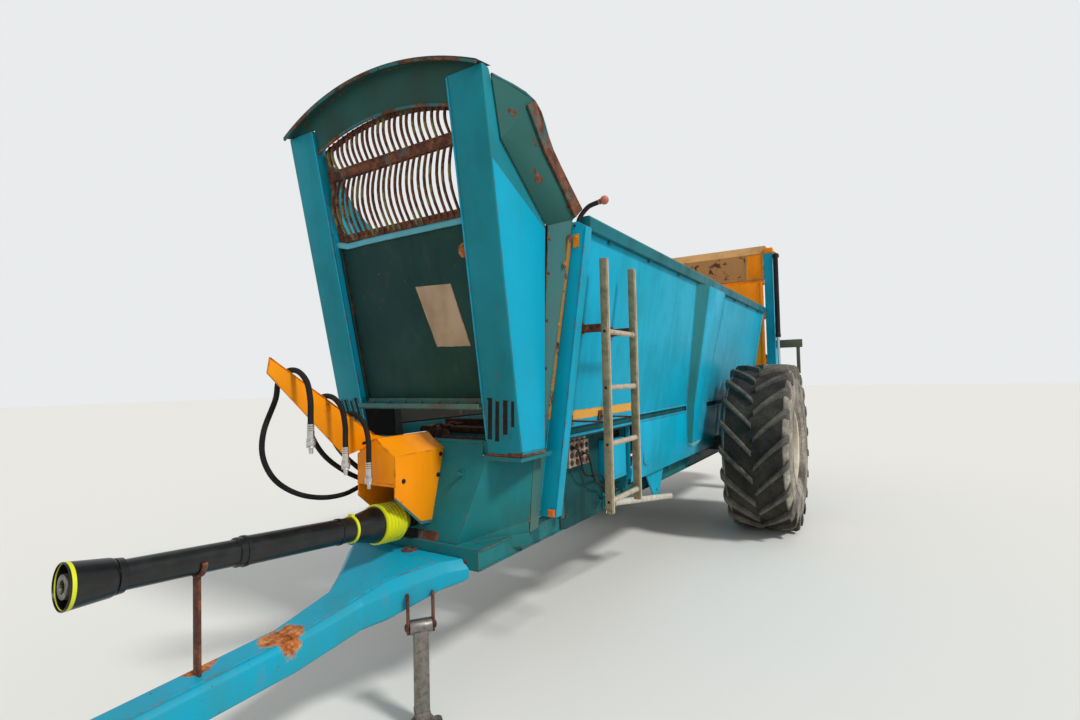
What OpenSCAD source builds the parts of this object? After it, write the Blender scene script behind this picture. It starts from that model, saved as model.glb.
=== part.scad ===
// Single-axle manure spreader: narrow sloping tub on big tyres, leaning front
// columns with a grille, floor chain, rear door and two standing beaters.
// Front (drawbar) is -Y, the machine's left side is +X, ground is z = 0.

/* [Tub] */
// Length of the side walls
tub_len = 4900; // [3500:50:6000]
// Outer half width of the walls at the floor line
floor_half = 600; // [520:10:680]
// Outer half width of the walls at the top rail
rail_half = 790; // [720:10:860]
// Height of the floor's top face above the ground
floor_z = 1230; // [1150:10:1330]
// Height of the top rail above the ground
rail_z = 2350; // [2100:10:2600]
// Height of the outward crease along the wall above the floor's top face
crease_up = 30; // [10:5:60]
// Thickness of the side walls
wall_t = 40; // [25:5:60]
// Thickness of the floor
floor_t = 40; // [25:5:60]
// Height of the top rail's box section
rail_h = 75; // [50:5:110]
// How far the top rail stands out of the wall
rail_out = 28; // [15:1:45]
// Height of the skirt's lower edge above the ground
skirt_z = 790; // [740:10:860]
// How far the skirt leans in towards its lower edge
skirt_in = 50; // [20:5:80]
// Length of the open bay between the front post and the skirt
bay_len = 1050; // [900:10:1200]
// Distance from the side wall's front end to the middle of its pilaster
rib_y = 2480; // [2200:20:2700]
// Width of the pilaster's face at the rail
rib_w = 540; // [400:10:640]
// How far the pilaster stands out of the wall
rib_out = 50; // [20:5:60]
// Width of the front post in the wall's plane
post_w = 110; // [80:5:140]
// Depth of the front post along the machine
post_d = 60; // [40:5:90]

/* [Front] */
// Distance from the foot of the front wall to the side walls
front_gap = 350; // [280:10:420]
// Forward lean of the front wall and its columns, in degrees
front_lean = 10.5; // [6:0.5:14]
// Height of the column tops above the ground
column_z = 2860; // [2600:20:3000]
// Width of a front column
column_w = 200; // [150:10:240]
// Outer half width over the columns at their foot
column_foot_half = 615; // [560:5:640]
// Sideways lean of the columns, in degrees
column_splay = 1.7; // [0:0.1:3]
// Depth of a column's side at its foot
column_d = 175; // [130:5:185]
// Height of the opening at the foot of the front wall
slot_h = 160; // [120:10:200]
// Thickness of the front wall's sheet
front_t = 20; // [8:2:30]
// Height of the crossbar under the grille above the ground
crossbar_z = 2220; // [2100:10:2300]
// Number of upright slats in the grille
slat_count = 22; // [12:1:26]
// Thickness of a grille slat
slat_t = 9; // [6:1:14]
// Rise of the arched hood above the column tops
hood_rise = 140; // [80:10:200]
// Width of the arched hood's face
hood_band = 190; // [120:10:240]
// Thickness of hood and wing sheets
sheet_t = 8; // [4:1:12]

/* [Chassis] */
// Outer half width over the two sills
sill_half = 450; // [400:10:480]
// Width of a sill
sill_w = 70; // [50:5:90]
// Height of a sill's section
sill_h = 97; // [80:1:120]
// How far the sills reach ahead of the front wall's foot
sill_front = 160; // [150:2:180]
// Number of cross frames between sills and floor, ahead of the axle
frame_count = 4; // [2:1:5]
// Wall of a cross frame
frame_w = 40; // [30:5:60]

/* [Drawbar] */
// Distance from the front wall's foot to the centre of the towing ring
ring_reach = 1960; // [1600:20:2300]
// Height of the towing ring above the ground
ring_z = 430; // [380:10:500]
// Bore of the towing ring
ring_bore = 50; // [40:1:68]
// Outer diameter of the towing ring
ring_d = 130; // [110:5:160]
// Thickness of the towing ring
ring_t = 40; // [30:1:50]
// Width of the drawbar at its nose
nose_w = 150; // [110:10:200]
// Height of the drawbar's box section at its nose
bar_h = 120; // [100:5:150]

/* [Jack] */
// Width of the leg's square tube
leg_w = 64; // [50:2:70]
// Diameter of the leg's hinge pin
jack_pin_d = 28; // [24:1:30]
// Width of the leg's foot, whose length is twice that
foot_w = 90; // [70:5:100]

/* [Wheels] */
// Overall diameter of a tyre out to its lugs
tyre_d = 1605; // [1400:5:1750]
// Section width of a tyre
tyre_w = 587; // [450:1:650]
// Diameter of the wheel rim
rim_d = 660; // [600:5:700]
// Half of the track width, wheel centre to wheel centre
track_half = 1050; // [1000:5:1120]
// Distance from the front wall's foot to the axle
axle_y = 3675; // [3300:25:4000]
// Side of the square axle beam
axle_w = 120; // [100:5:140]
// Diameter of a spindle
spindle_d = 90; // [60:5:110]
// Diameter of the wheel studs' circle
stud_circle = 335; // [275:5:335]
// Number of wheel studs
stud_count = 10; // [6:1:10]
// Number of tread lugs on each half of a tyre
lug_count = 16; // [14:1:18]
// Height of a tread lug
lug_h = 38; // [25:1:45]
// Width of a tread lug
lug_w = 52; // [35:1:65]
// Radius of the wheel hub
hub_r = 120; // [90:5:130]

/* [Floor chain] */
// Sideways place of a chain strand
strand_x = 300; // [220:10:380]
// Width of a chain strand
strand_w = 50; // [30:5:70]
// Height of a chain strand
strand_h = 22; // [14:1:30]
// Radius of the chain's turn round its shafts
turn_r = 75; // [55:5:90]
// Number of slats on each run
slat_run = 11; // [8:1:18]
// Width of a chain slat
chain_slat_w = 45; // [30:5:60]
// Height of a chain slat
chain_slat_h = 38; // [28:2:50]
// Half length of a chain slat
chain_half = 440; // [400:5:442]
// Diameter of the chain's shafts
shaft_d = 60; // [40:5:70]

/* [Rear] */
// Thickness of the rear door
door_t = 40; // [30:5:50]
// Running gap on each side of the rear door
door_gap = 15; // [8:1:25]
// Height of the rear door's upper edge above the ground
door_top = 2680; // [2500:10:2720]
// Half width of the rear door
door_half = 785; // [740:5:795]
// Travel of the rear door
door_lift = 850; // [600:10:850]
// Inner half width between the rear posts
rear_half = 800; // [798:1:840]
// Width of a rear post
rear_post_w = 100; // [70:5:130]
// Depth of a rear post
rear_post_d = 120; // [90:5:150]
// Height of the rear hood above the door's upper edge
hood_up = 490; // [420:10:540]
// Diameter of a door cylinder's barrel
barrel_d = 64; // [50:2:80]
// Diameter of a door cylinder's rod
rod_d = 36; // [25:1:45]

/* [Beaters] */
// Sideways place of a beater's axis
beater_x = 415; // [400:5:430]
// Distance from the rear posts to the beaters' axes
beater_back = 430; // [400:5:480]
// Diameter of a beater's tube
beater_tube = 190; // [140:5:220]
// Radius of a beater's screw flight
flight_r = 340; // [280:5:370]
// Radius of a beater's spreading disc
disc_r = 395; // [360:5:400]
// Height of a beater above its disc
beater_h = 1700; // [1500:20:1750]

/* [Ladder] */
// Distance of the ladder behind the front post
ladder_gap = 80; // [50:10:150]
// Width of the ladder
ladder_w = 400; // [300:10:450]
// Rung spacing
rung_step = 293; // [250:1:310]
// Number of rungs
rung_count = 4; // [3:1:4]
// Sideways place of the ladder
ladder_x = 835; // [815:5:880]

/* [Drive shaft and hoses] */
// Length of the drive shaft
pto_len = 1340; // [1100:20:1450]
// Diameter of the drive shaft's guard tube
tube_d = 108; // [90:2:120]
// Diameter of the drive shaft's ribbed cone
cone_d = 186; // [160:2:196]
// Half width of the guard over the drive shaft
guard_half = 126; // [115:1:150]
// Rise of the drive shaft towards its free end, in degrees
pto_rise = 4.7; // [2:0.1:6]
// Outer diameter of a hydraulic hose
hose_d = 24; // [18:1:26]

/* [Hidden] */
$fn = 48;
fit = 0.3;
pin_fit = 0.08;
yoke_bore = 35;
flight_steps = 30;

wall_y0 = front_gap;
wall_y1 = wall_y0 + tub_len;
crease_z = floor_z + crease_up;
door_y0 = wall_y1 + door_gap;
door_y1 = door_y0 + door_t;
post_y0 = door_y1 + door_gap;
post_y1 = post_y0 + rear_post_d;
beater_y = post_y1 + beater_back;
guard_back = 30;
rear_end = beater_y + disc_r + guard_back;
front_end = -(ring_reach + ring_d / 2);
shift_y = -(rear_end + front_end) / 2;
rear_base = skirt_z + 60;
hood_z = door_top + hood_up;
lean_tan = tan(front_lean);
wheel_r = tyre_d / 2;
wall_slope = (rail_half - floor_half) / (rail_z - crease_z);
wall_angle = atan(wall_slope);
sill_top = wheel_r - axle_w / 2 - fit;
sill_z = sill_top - sill_h;
floor_low = floor_z - floor_t;
shaft_in_z = sill_top + 98;
shaft_z = floor_z - turn_r;
shaft_front = wall_y0 + 60;
shaft_rear = wall_y1 - 130;

// Inner half width between the walls at the floor's lower face
wall_in = floor_half - wall_t - skirt_in * (crease_z - floor_low) / (crease_z - skirt_z);

function wall_x(z) = floor_half + (z - crease_z) * wall_slope;
function wall_skin(z) =
    z > crease_z ? wall_x(z) : floor_half - skirt_in * (crease_z - z) / (crease_z - skirt_z);
function lean_y(z) = -(z - floor_z) * lean_tan;

// Extrudes a flat outline (x, z) along the machine from y0 to y1
module along_y(y0, y1) {
    translate([0, y1, 0]) rotate([90, 0, 0]) linear_extrude(y1 - y0) children();
}

// Extrudes a flat outline (y, z) across the machine from x0 to x1
module along_x(x0, x1) {
    translate([x0, 0, 0]) rotate([90, 0, 90]) linear_extrude(x1 - x0) children();
}

// Moves what is drawn from the front wall's foot into the part's frame
module place() {
    translate([0, shift_y, 0]) children();
}

module block(x0, x1, y0, y1, z0, z1) {
    translate([x0, y0, z0]) cube([x1 - x0, y1 - y0, z1 - z0]);
}

// Round bar of diameter d from one point to another
module round_bar(a, b, d) {
    v = b - a;
    translate(a) rotate([0, acos(v.z / norm(v)), atan2(v.y, v.x)]) cylinder(d = d, h = norm(v), $fn = 16);
}

module both_sides() {
    children();
    mirror([1, 0, 0]) children();
}

// Tub
module wall_section() {
    low_x = wall_x(crease_z) - skirt_in;
    polygon([
        [low_x, skirt_z],
        [wall_x(crease_z), crease_z],
        [wall_x(rail_z - rail_h), rail_z - rail_h],
        [wall_x(rail_z - rail_h) + rail_out, rail_z - rail_h],
        [wall_x(rail_z) + rail_out, rail_z],
        [wall_x(rail_z) - wall_t, rail_z],
        [wall_x(crease_z) - wall_t, crease_z],
        [low_x - wall_t, skirt_z]
    ]);
}

axle_notch = 20;

// Cross-section of the pilaster at height z, with the half widths of its root and face
module rib_slice(z, root, face, out) {
    translate([0, wall_y0 + rib_y, z]) linear_extrude(1) polygon([
        [wall_skin(z) - 8, -root],
        [wall_skin(z) + out, -face],
        [wall_skin(z) + out, face],
        [wall_skin(z) - 8, root]
    ]);
}

// Wedge pilaster, wide at the rail and narrow at the skirt
module pilaster() {
    hull() {
        rib_slice(rail_z - rail_h - 1, rib_w * 0.9, rib_w * 0.5, rib_out);
        rib_slice(crease_z, rib_w * 0.56, rib_w * 0.36, rib_out * 0.8);
    }
    hull() {
        rib_slice(crease_z, rib_w * 0.56, rib_w * 0.36, rib_out * 0.8);
        rib_slice(skirt_z + 130, rib_w * 0.36, rib_w * 0.28, rib_out * 0.7);
    }
}

// Triangular plate under the skirt that carries the low pipe
hanger_y = wall_y0 + 1355;
hanger_x = floor_half - skirt_in - wall_t;
pipe_d = 42;
pipe_x = hanger_x + 14 + fit + pipe_d / 2;

module hanger() {
    along_x(hanger_x, hanger_x + 14) polygon([
        [hanger_y, skirt_z + 50],
        [hanger_y + 420, skirt_z + 50],
        [hanger_y + 420, skirt_z - 16],
        [hanger_y + 300, skirt_z - 230],
        [hanger_y + 230, skirt_z - 230]
    ]);
}

module side_wall() {
    difference() {
        union() {
            along_y(wall_y0, wall_y1) wall_section();
            pilaster();
            hanger();
        }
        block(0, floor_half + 1, axle_y - axle_w / 2 - axle_notch, axle_y + axle_w / 2 + axle_notch,
            skirt_z - 1, wheel_r + axle_w / 2 + axle_notch);
        block(0, floor_half + 1, wall_y0 - 1, wall_y0 + bay_len, skirt_z - 1, floor_low);
    }
}

post_low = skirt_z + 15;
post_top = rail_z - 40;

// Outer half width over the front posts at height z
function post_x(z) = floor_half + 2 + (z - post_low) * (rail_half + 29 - floor_half - 2) / (post_top - 30 - post_low);

module front_post() {
    along_y(wall_y0 - post_d, wall_y0) polygon([
        [post_x(post_low) - post_w, post_low],
        [post_x(post_low), post_low],
        [post_x(post_top - 30), post_top - 30],
        [post_x(post_top) - post_w / 2, post_top],
        [post_x(post_top) - post_w, post_top]
    ]);
}

// Bent lever with a knob on top of a front post
module post_lever() {
    y = wall_y0 - post_d / 2;
    foot = [rail_half - 38, y, post_top - 30];
    bend = [rail_half - 27, y, post_top + 20];
    knee = [rail_half + 32, y, post_top + 75];
    tip = [rail_half + 116, y, post_top + 90];
    round_bar(foot, bend, 20);
    round_bar(bend, knee, 20);
    round_bar(knee, tip, 20);
    for (p = [bend, knee]) translate(p) sphere(d = 20, $fn = 16);
    translate(tip) sphere(d = 44, $fn = 24);
}

module left_wall() {
    color("#159fb2") place() side_wall();
}

module right_wall() {
    color("#159fb2") place() mirror([1, 0, 0]) side_wall();
}

module front_posts() {
    color("#1fb0c4") place() both_sides() {
        front_post();
        post_lever();
    }
}

module tub_floor() {
    half = wall_in - fit;
    color("#7a6a58") place()
        block(-half, half, shaft_front + turn_r + 20, shaft_rear - turn_r - 20, floor_low, floor_z);
}

// Front wall and columns
foot_z = floor_z - 70;

// Inner half width between the columns at height z
function column_in(z) = column_foot_half - column_w + (z - foot_z) * tan(column_splay);

knee_z = crossbar_z + 80;
face_out = 40;

module column_side() {
    polygon([
        [lean_y(foot_z) - face_out, foot_z],
        [column_d, foot_z],
        [column_d, knee_z],
        [lean_y(knee_z + 300) + 80, knee_z + 300],
        [lean_y(column_z) + 10, column_z],
        [lean_y(column_z) - face_out, column_z]
    ]);
}

module column() {
    translate([column_foot_half - column_w, 0, foot_z])
        rotate([0, column_splay, 0])
            translate([0, 0, -foot_z])
                along_x(0, column_w) column_side();
}

module left_column() {
    color("#2f8f97") place() column();
}

module right_column() {
    color("#2f8f97") place() mirror([1, 0, 0]) column();
}

slot_top = floor_z + slot_h;
bar_up = 60;
grille_z = crossbar_z + bar_up * cos(front_lean) + fit;

module front_wall() {
    low = column_in(slot_top) - fit;
    high = column_in(crossbar_z) - fit;
    up = (crossbar_z - slot_top) / cos(front_lean);
    color("#4b6f70") place() translate([0, lean_y(slot_top), slot_top]) rotate([front_lean, 0, 0]) {
        along_y(0, front_t) polygon([[-low, 0], [low, 0], [high, up], [-high, up]]);
        block(-low, low, -70, 1, 0, 30);
    }
}

module crossbar() {
    half = column_in(crossbar_z) - fit;
    color("#5fb9c6") place()
        translate([0, lean_y(crossbar_z), crossbar_z]) rotate([front_lean, 0, 0])
            block(-half, half, -12, front_t + 6, fit, bar_up);
}

top_half = column_foot_half + (column_z - foot_z) * tan(column_splay);
arch_foot = column_z + 12;
arch_r = (pow(top_half, 2) + pow(hood_rise, 2)) / (2 * hood_rise);
arch_mid = arch_foot + hood_rise - arch_r;

function arch_z(x) = sqrt(pow(arch_r, 2) - pow(x, 2)) + arch_mid;

// Disc of the arch's circle, shrunk by less, seen along the lean with base as its zero
module arch_disc(less, base) {
    translate([0, arch_mid - base]) circle(r = arch_r - less, $fn = 360);
}

slat_steps = 6;
slat_d = 26;
band_h = 55;

// Upright slat bowed forward, from low to high in the grille's own plane
module slat(x, low, high, bow) {
    points = [for (i = [0 : slat_steps]) [-4 * bow * i * (slat_steps - i) / pow(slat_steps, 2),
        low + (high - low) * i / slat_steps]];
    back = [for (i = [slat_steps : -1 : 0]) points[i] + [slat_d, 0]];
    along_x(x - slat_t / 2, x + slat_t / 2) polygon(concat(points, back));
}

module front_grille() {
    half = column_in(grille_z) - fit;
    base = grille_z;
    pitch = 2 * half / (slat_count + 1);
    mid = (column_z - base) * 0.56;
    color("#6b4a35") place() translate([0, lean_y(base), base]) rotate([front_lean, 0, 0]) {
        for (i = [1 : slat_count]) {
            x = -half + i * pitch;
            slat(x, 0, mid + 10, 48);
            slat(x, mid + band_h - 10, arch_z(x) - hood_band - base + 22, 26);
        }
        block(-half, half, 5, 30, 0, 40);
        block(-half, half, 0, 30, mid, mid + band_h);
        both_sides() block(half - 24, half, 4, 30, 0, arch_z(half) - hood_band - base + 10);
    }
}

module front_hood() {
    base = column_z - hood_band;
    inner = column_in(arch_z(column_foot_half - column_w) - hood_band) - 4 * fit;
    color("#3f7f80") place() translate([0, lean_y(base), base]) rotate([front_lean, 0, 0]) {
        rotate([90, 0, 0]) translate([0, 0, 20]) linear_extrude(sheet_t) difference() {
            intersection() {
                arch_disc(0, base);
                union() {
                    translate([-inner, -hood_band]) square([2 * inner, hood_band * 3]);
                    translate([-top_half, hood_band + 12]) square([2 * top_half, hood_band * 2]);
                }
            }
            arch_disc(hood_band, base);
        }
        rotate([90, 0, 0]) translate([0, 0, -30]) linear_extrude(110) difference() {
            intersection() {
                arch_disc(0, base);
                translate([-top_half, hood_band + 12]) square([2 * top_half, hood_band * 2]);
            }
            arch_disc(sheet_t, base);
        }
    }
}

// Thin sheet spanned between corners, each given as [x, y, z]
module sheet(corners) {
    hull() for (c = corners) translate(c) cube([sheet_t, 4, 4]);
}

// Side sheet between a column and the front post, flared behind the column
module wing() {
    low = floor_low + 20;
    post_face = wall_y0 - post_d - 5;
    column_low = [column_foot_half - 30, column_d + fit, low];
    post_low = [wall_x(low) - 45, post_face, low];
    top_front = [top_half - 0.4, lean_y(column_z) + 20, column_z - 30];
    top_back = [top_half + 45, -10, column_z - 50];
    middle = [top_half + 60, 120, knee_z + 320];
    rail_end = [rail_half - 30, wall_y0 - 10, rail_z + 30];
    front_mid = [top_half - 6, lean_y(knee_z + 300) + 40, knee_z + 280];
    post_top = [wall_x(knee_z) - 45, post_face - 6, rail_z - 32];
    column_side = [top_half - 14, column_d + fit, knee_z - 20];
    sheet([column_low, column_side, post_low, post_top]);
    sheet([top_front, top_back, front_mid]);
    sheet([top_back, middle, front_mid]);
    sheet([middle, rail_end, post_top, column_side, front_mid]);
}

module left_wing() {
    color("#7d5137") place() wing();
}

module right_wing() {
    color("#7d5137") place() mirror([1, 0, 0]) wing();
}

// Chassis
seat_z = foot_z - column_w * sin(column_splay);
seat_t = 20;
seat_y1 = 250;
seat_post = 50;

module sills() {
    inner = sill_half - sill_w;
    color("#2f8f97") place() {
        both_sides() block(inner, sill_half, -sill_front, wall_y1, sill_z, sill_top);
        block(-inner, inner, -sill_front, -sill_front + 80, sill_z, sill_top);
        block(-inner, inner, wall_y1 - 120, wall_y1, sill_z, sill_top);
        both_sides() {
            block(inner, sill_half, seat_y1 - seat_post, seat_y1, sill_top - 1, seat_z - seat_t + 1);
            block(inner, column_foot_half - 4, -30, seat_y1, seat_z - seat_t, seat_z);
        }
    }
}

frame_half = floor_half - wall_t - skirt_in - 2;
frame_y0 = shaft_front + 90;
frame_y1 = shaft_rear - 90 - frame_w;

module cross_frame(y) {
    along_y(y, y + frame_w) difference() {
        translate([-frame_half, sill_top]) square([2 * frame_half, floor_low - sill_top]);
        translate([-frame_half + frame_w, sill_top + 80])
            square([2 * (frame_half - frame_w), floor_low - sill_top - 80 - frame_w]);
    }
}

axle_clear = 430;

module cross_frames() {
    last = axle_y - axle_clear - frame_w;
    color("#357e84") place() {
        for (i = [0 : frame_count - 1]) cross_frame(frame_y0 + i * (last - frame_y0) / (frame_count - 1));
        cross_frame(axle_y + axle_clear);
        cross_frame(frame_y1);
    }
}

apron_t = 10;
apron_tan = tan(15.4);
apron_top = floor_z - 5;
apron_side_y = seat_y1 - seat_post - 10;

// Front face of the leaning apron at height z
function apron_y(z) = -5 - (apron_top - z) * apron_tan;

// Leaning plate between the columns with a folded plate back to each sill
module front_apron() {
    low = sill_top + fit;
    high = seat_z - seat_t - 1;
    up = (high - low) / cos(15.4);
    color("#2f8f97") place() difference() {
        union() {
            translate([0, apron_y(low), low]) rotate([-15.4, 0, 0]) along_y(0, apron_t) polygon([
                [-300, 0], [300, 0], [404, up], [sill_half - sill_w - 2, up],
                [sill_half - sill_w - 2, (apron_top - low) / cos(15.4)],
                [-sill_half + sill_w + 2, (apron_top - low) / cos(15.4)],
                [-sill_half + sill_w + 2, up], [-404, up]
            ]);
            both_sides() hull() {
                translate([400, apron_y(high) + 2, high - 5]) cube([8, 4, 4]);
                translate([296, apron_y(low) + 3, low]) cube([8, 4, 4]);
                translate([498, apron_side_y, low + 62]) cube([8, 4, 4]);
                translate([530, apron_side_y, high - 5]) cube([8, 4, 4]);
            }
        }
        translate([0, apron_y(shaft_in_z), shaft_in_z]) rotate([90, 0, 0]) cylinder(d = 124, h = 60, center = true);
        block(-420, 420, -200, 0, low - 20, low);
    }
}

// Drawbar
nose_y = -(ring_reach - 200);

// Drawbar sections, each as distance, half width, lower and upper height
root = [-sill_front - 2, sill_half - 50, sill_z - 60, sill_z + 50];
flank = [-sill_front - 92, sill_half - 120, sill_z - 85, sill_z + 45];
waist = [-sill_front - 270, nose_w / 2 + 115, ring_z + 40, sill_z - 5];
neck = [-sill_front - 380, nose_w / 2 + 45, ring_z + 22, sill_z - 55];
slim = [-sill_front - 670, nose_w / 2 + 10, ring_z - 30, ring_z + 105];
nose = [nose_y, nose_w / 2, ring_z - bar_h / 2, ring_z + bar_h / 2];

module bar_section(row) {
    half = row[1];
    cut = half * 0.22;
    along_y(row[0], row[0] + 2) polygon([
        [-half, row[2]], [half, row[2]], [half, row[3] - cut], [half - cut, row[3]],
        [-half + cut, row[3]], [-half, row[3] - cut]
    ]);
}

module bar_part(back, front) {
    hull() {
        bar_section(back);
        bar_section(front);
    }
}

module drawbar() {
    color("#3b8c92") place() {
        bar_part(root, flank);
        bar_part(flank, waist);
        bar_part(waist, neck);
        bar_part(neck, slim);
        bar_part(slim, nose);
    }
}

// Upper face of the drawbar's front half at y
function bar_top(y) = slim[3] + (nose[3] - slim[3]) * (y - slim[0]) / (nose[0] - slim[0]);

module towing_ring() {
    color("#4a4643") place() difference() {
        union() {
            translate([0, -ring_reach, ring_z - ring_t / 2]) cylinder(d = ring_d, h = ring_t);
            block(-35, 35, -ring_reach, nose_y, ring_z - ring_t / 2, ring_z + ring_t / 2);
            block(-65, 65, nose_y - 25, nose_y, ring_z - 65, ring_z + 65);
        }
        translate([0, -ring_reach, ring_z - ring_t]) cylinder(d = ring_bore, h = 2 * ring_t);
    }
}

// Parking leg, hinged between two flats on the drawbar's left flank
flat_t = 12;
flat_d = 30;
flat_gap = 98;
leg_turn = atan2(flank[0] - waist[0], flank[1] - waist[1]);
pin_z = ring_z + 10;
hinge_x = (flank[1] + waist[1]) / 2 + (flat_d / 2 + fit) * sin(leg_turn);
hinge_y = (flank[0] + waist[0]) / 2 - (flat_d / 2 + fit) * cos(leg_turn);

// Moves what is drawn about the leg's hinge axis (x) to the drawbar's flank
module at_hinge() {
    translate([hinge_x, hinge_y, 0]) rotate([0, 0, leg_turn]) children();
}

module jack_bracket() {
    color("#7d5137") place() at_hinge() {
        for (x = [-flat_gap / 2 - flat_t, flat_gap / 2])
            along_x(x, x + flat_t) difference() {
                translate([-flat_d / 2, pin_z - 30]) square([flat_d, sill_z - 30 - pin_z]);
                translate([0, pin_z]) circle(d = jack_pin_d - 8);
            }
        translate([-flat_gap / 2 - 18, 0, pin_z]) rotate([0, 90, 0])
            cylinder(d = jack_pin_d - 8, h = flat_gap + 36);
    }
}

module jack_leg() {
    barrel = flat_gap - 2;
    color("#8d8a84") place() at_hinge() difference() {
        union() {
            block(-leg_w / 2, leg_w / 2, -leg_w / 2, leg_w / 2, 12, pin_z);
            translate([-barrel / 2, 0, pin_z]) rotate([0, 90, 0]) cylinder(d = leg_w, h = barrel);
            block(-foot_w, foot_w, -foot_w / 2, foot_w / 2, 0, 12);
        }
        translate([-barrel, 0, pin_z]) rotate([0, 90, 0]) cylinder(d = jack_pin_d - 8 + 0.1, h = 2 * barrel);
    }
}

// Floor chain
turn_steps = 5;

// Half turn of radius r round the point (y, shaft_z), starting upwards or downwards
function half_turn(y, r, start) = [for (i = [0 : turn_steps])
    [y + r * cos(start + 180 * i / turn_steps), shaft_z + r * sin(start + 180 * i / turn_steps)]];

module chain_loop(x) {
    outer = turn_r + strand_h;
    inner = (turn_r + fit) / cos(90 / turn_steps);
    along_x(x - strand_w / 2, x + strand_w / 2) difference() {
        polygon(concat(half_turn(shaft_front, outer, 90), half_turn(shaft_rear, outer, -90)));
        polygon(concat(half_turn(shaft_front, inner, 90), half_turn(shaft_rear, inner, -90)));
    }
}

module floor_chain() {
    step = (shaft_rear - shaft_front) / slat_run;
    color("#5d4636") place() {
        both_sides() chain_loop(strand_x);
        for (i = [0 : slat_run - 1]) {
            y = shaft_front + (i + 0.5) * step;
            block(-chain_half, chain_half, y, y + chain_slat_w, floor_z, floor_z + chain_slat_h);
            block(-chain_half, chain_half, y, y + chain_slat_w,
                shaft_z - turn_r - chain_slat_h, shaft_z - turn_r - 1);
        }
    }
}

module chain_shaft(y) {
    translate([-frame_half, y, shaft_z]) rotate([0, 90, 0]) cylinder(d = shaft_d, h = 2 * frame_half);
    both_sides() translate([strand_x - strand_w / 2 - 10, y, shaft_z])
        rotate([0, 90, 0]) cylinder(r = turn_r, h = strand_w + 20);
}

module chain_shafts() {
    reach = frame_half - frame_w;
    color("#6a5b50") place() {
        chain_shaft(shaft_front);
        chain_shaft(shaft_rear);
        both_sides() {
            chain_bearing(shaft_front, shaft_front - 50, frame_y0, reach);
            chain_bearing(shaft_rear, frame_y1 + frame_w, shaft_rear + 50, reach);
        }
    }
}

module chain_bearing(y, y0, y1, x) {
    difference() {
        block(x, frame_half, y0, y1, shaft_z - 55, shaft_z + 35);
        translate([x - 1, y, shaft_z]) rotate([0, 90, 0]) cylinder(d = shaft_d + 2 * fit, h = frame_w + 2);
    }
}

// Axle and wheels
module axle() {
    beam_half = track_half - tyre_w / 2 - 20;
    color("#3c3a38") place() translate([0, axle_y, wheel_r]) {
        block(-beam_half, beam_half, -axle_w / 2, axle_w / 2, -axle_w / 2, axle_w / 2);
        translate([-track_half - 40, 0, 0]) rotate([0, 90, 0]) cylinder(d = spindle_d, h = 2 * track_half + 80);
    }
}

tyre_steps = 32;
lug_turn = 20;

// Tread lug from the tyre's middle out to one shoulder, at angle a
module lug(a, side) {
    hull() {
        rotate([0, 0, a + lug_turn]) translate([wheel_r - lug_h - 14, -lug_w / 2, -14])
            cube([lug_h + 14, lug_w, 28]);
        rotate([0, 0, a]) translate([wheel_r - lug_h - 66, -lug_w / 2, side * (tyre_w / 2 - 7) - 7])
            cube([lug_h + 36, lug_w, 14]);
    }
}

module tyre(x) {
    bore = rim_d / 2 / cos(180 / tyre_steps);
    tread = wheel_r - lug_h;
    color("#2b2a29") place() translate([x, axle_y, wheel_r]) rotate([0, 90, 0]) {
        rotate_extrude($fn = tyre_steps) polygon([
            [bore, -tyre_w * 0.40],
            [(rim_d + tyre_d) / 4, -tyre_w / 2 + 2],
            [tread - 46, -tyre_w / 2 + 14],
            [tread, -tyre_w / 2 + 90],
            [tread, tyre_w / 2 - 90],
            [tread - 46, tyre_w / 2 - 14],
            [(rim_d + tyre_d) / 4, tyre_w / 2 - 2],
            [bore, tyre_w * 0.40]
        ]);
        for (i = [0 : lug_count - 1]) {
            lug(i * 360 / lug_count - lug_turn, 1);
            lug((i + 0.5) * 360 / lug_count - lug_turn, -1);
        }
    }
}

module rim(x, out) {
    w = tyre_w * 0.40;
    r = rim_d / 2 - fit;
    color("#d8d2bd") place() translate([x, axle_y, wheel_r]) rotate([0, 90, 0]) {
        rotate_extrude($fn = 96) polygon([
            [r, -w], [r, w], [r - 30, w], [r - 30, out * 40 + 8], [spindle_d / 2 + fit, out * 40 + 8],
            [spindle_d / 2 + fit, out * 40 - 8], [r - 30, out * 40 - 8], [r - 30, -w]
        ]);
        rotate_extrude() polygon([
            [spindle_d / 2 + fit, out * 40 - 120], [hub_r, out * 40 - 120], [hub_r, out * 40 + 60],
            [spindle_d / 2 + fit, out * 40 + 60]
        ]);
        for (i = [0 : stud_count - 1]) rotate([0, 0, i * 360 / stud_count])
            translate([stud_circle / 2, 0, out * 40 - 32]) cylinder(d = 22, h = 64, $fn = 24);
    }
}

module tyre_left() {
    tyre(track_half);
}

module tyre_right() {
    tyre(-track_half);
}

module rim_left() {
    rim(track_half, 1);
}

module rim_right() {
    rim(-track_half, -1);
}

// Rear frame, door and beaters
module rear_frame() {
    outer = rear_half + rear_post_w;
    color("#1fa3b5") place() {
        both_sides() block(rear_half, outer, post_y0, post_y1, sill_z, hood_z - 60);
        block(-outer, outer, wall_y1, post_y1, sill_z, rear_base);
        both_sides() block(beater_x - 70, beater_x + 70, post_y1 - 1, beater_y + 120, rear_base - 90, rear_base);
    }
}

box_h = 130;
beater_gap = 25;
beater_shaft = 60;
beater_z0 = rear_base + box_h + beater_gap;

module beater_gearboxes() {
    color("#3a3a3a") place() both_sides() translate([beater_x, beater_y, rear_base]) {
        block(-110, 110, -110, 110, 0, box_h);
        cylinder(d = beater_shaft, h = box_h + beater_gap + 60);
    }
}

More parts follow.
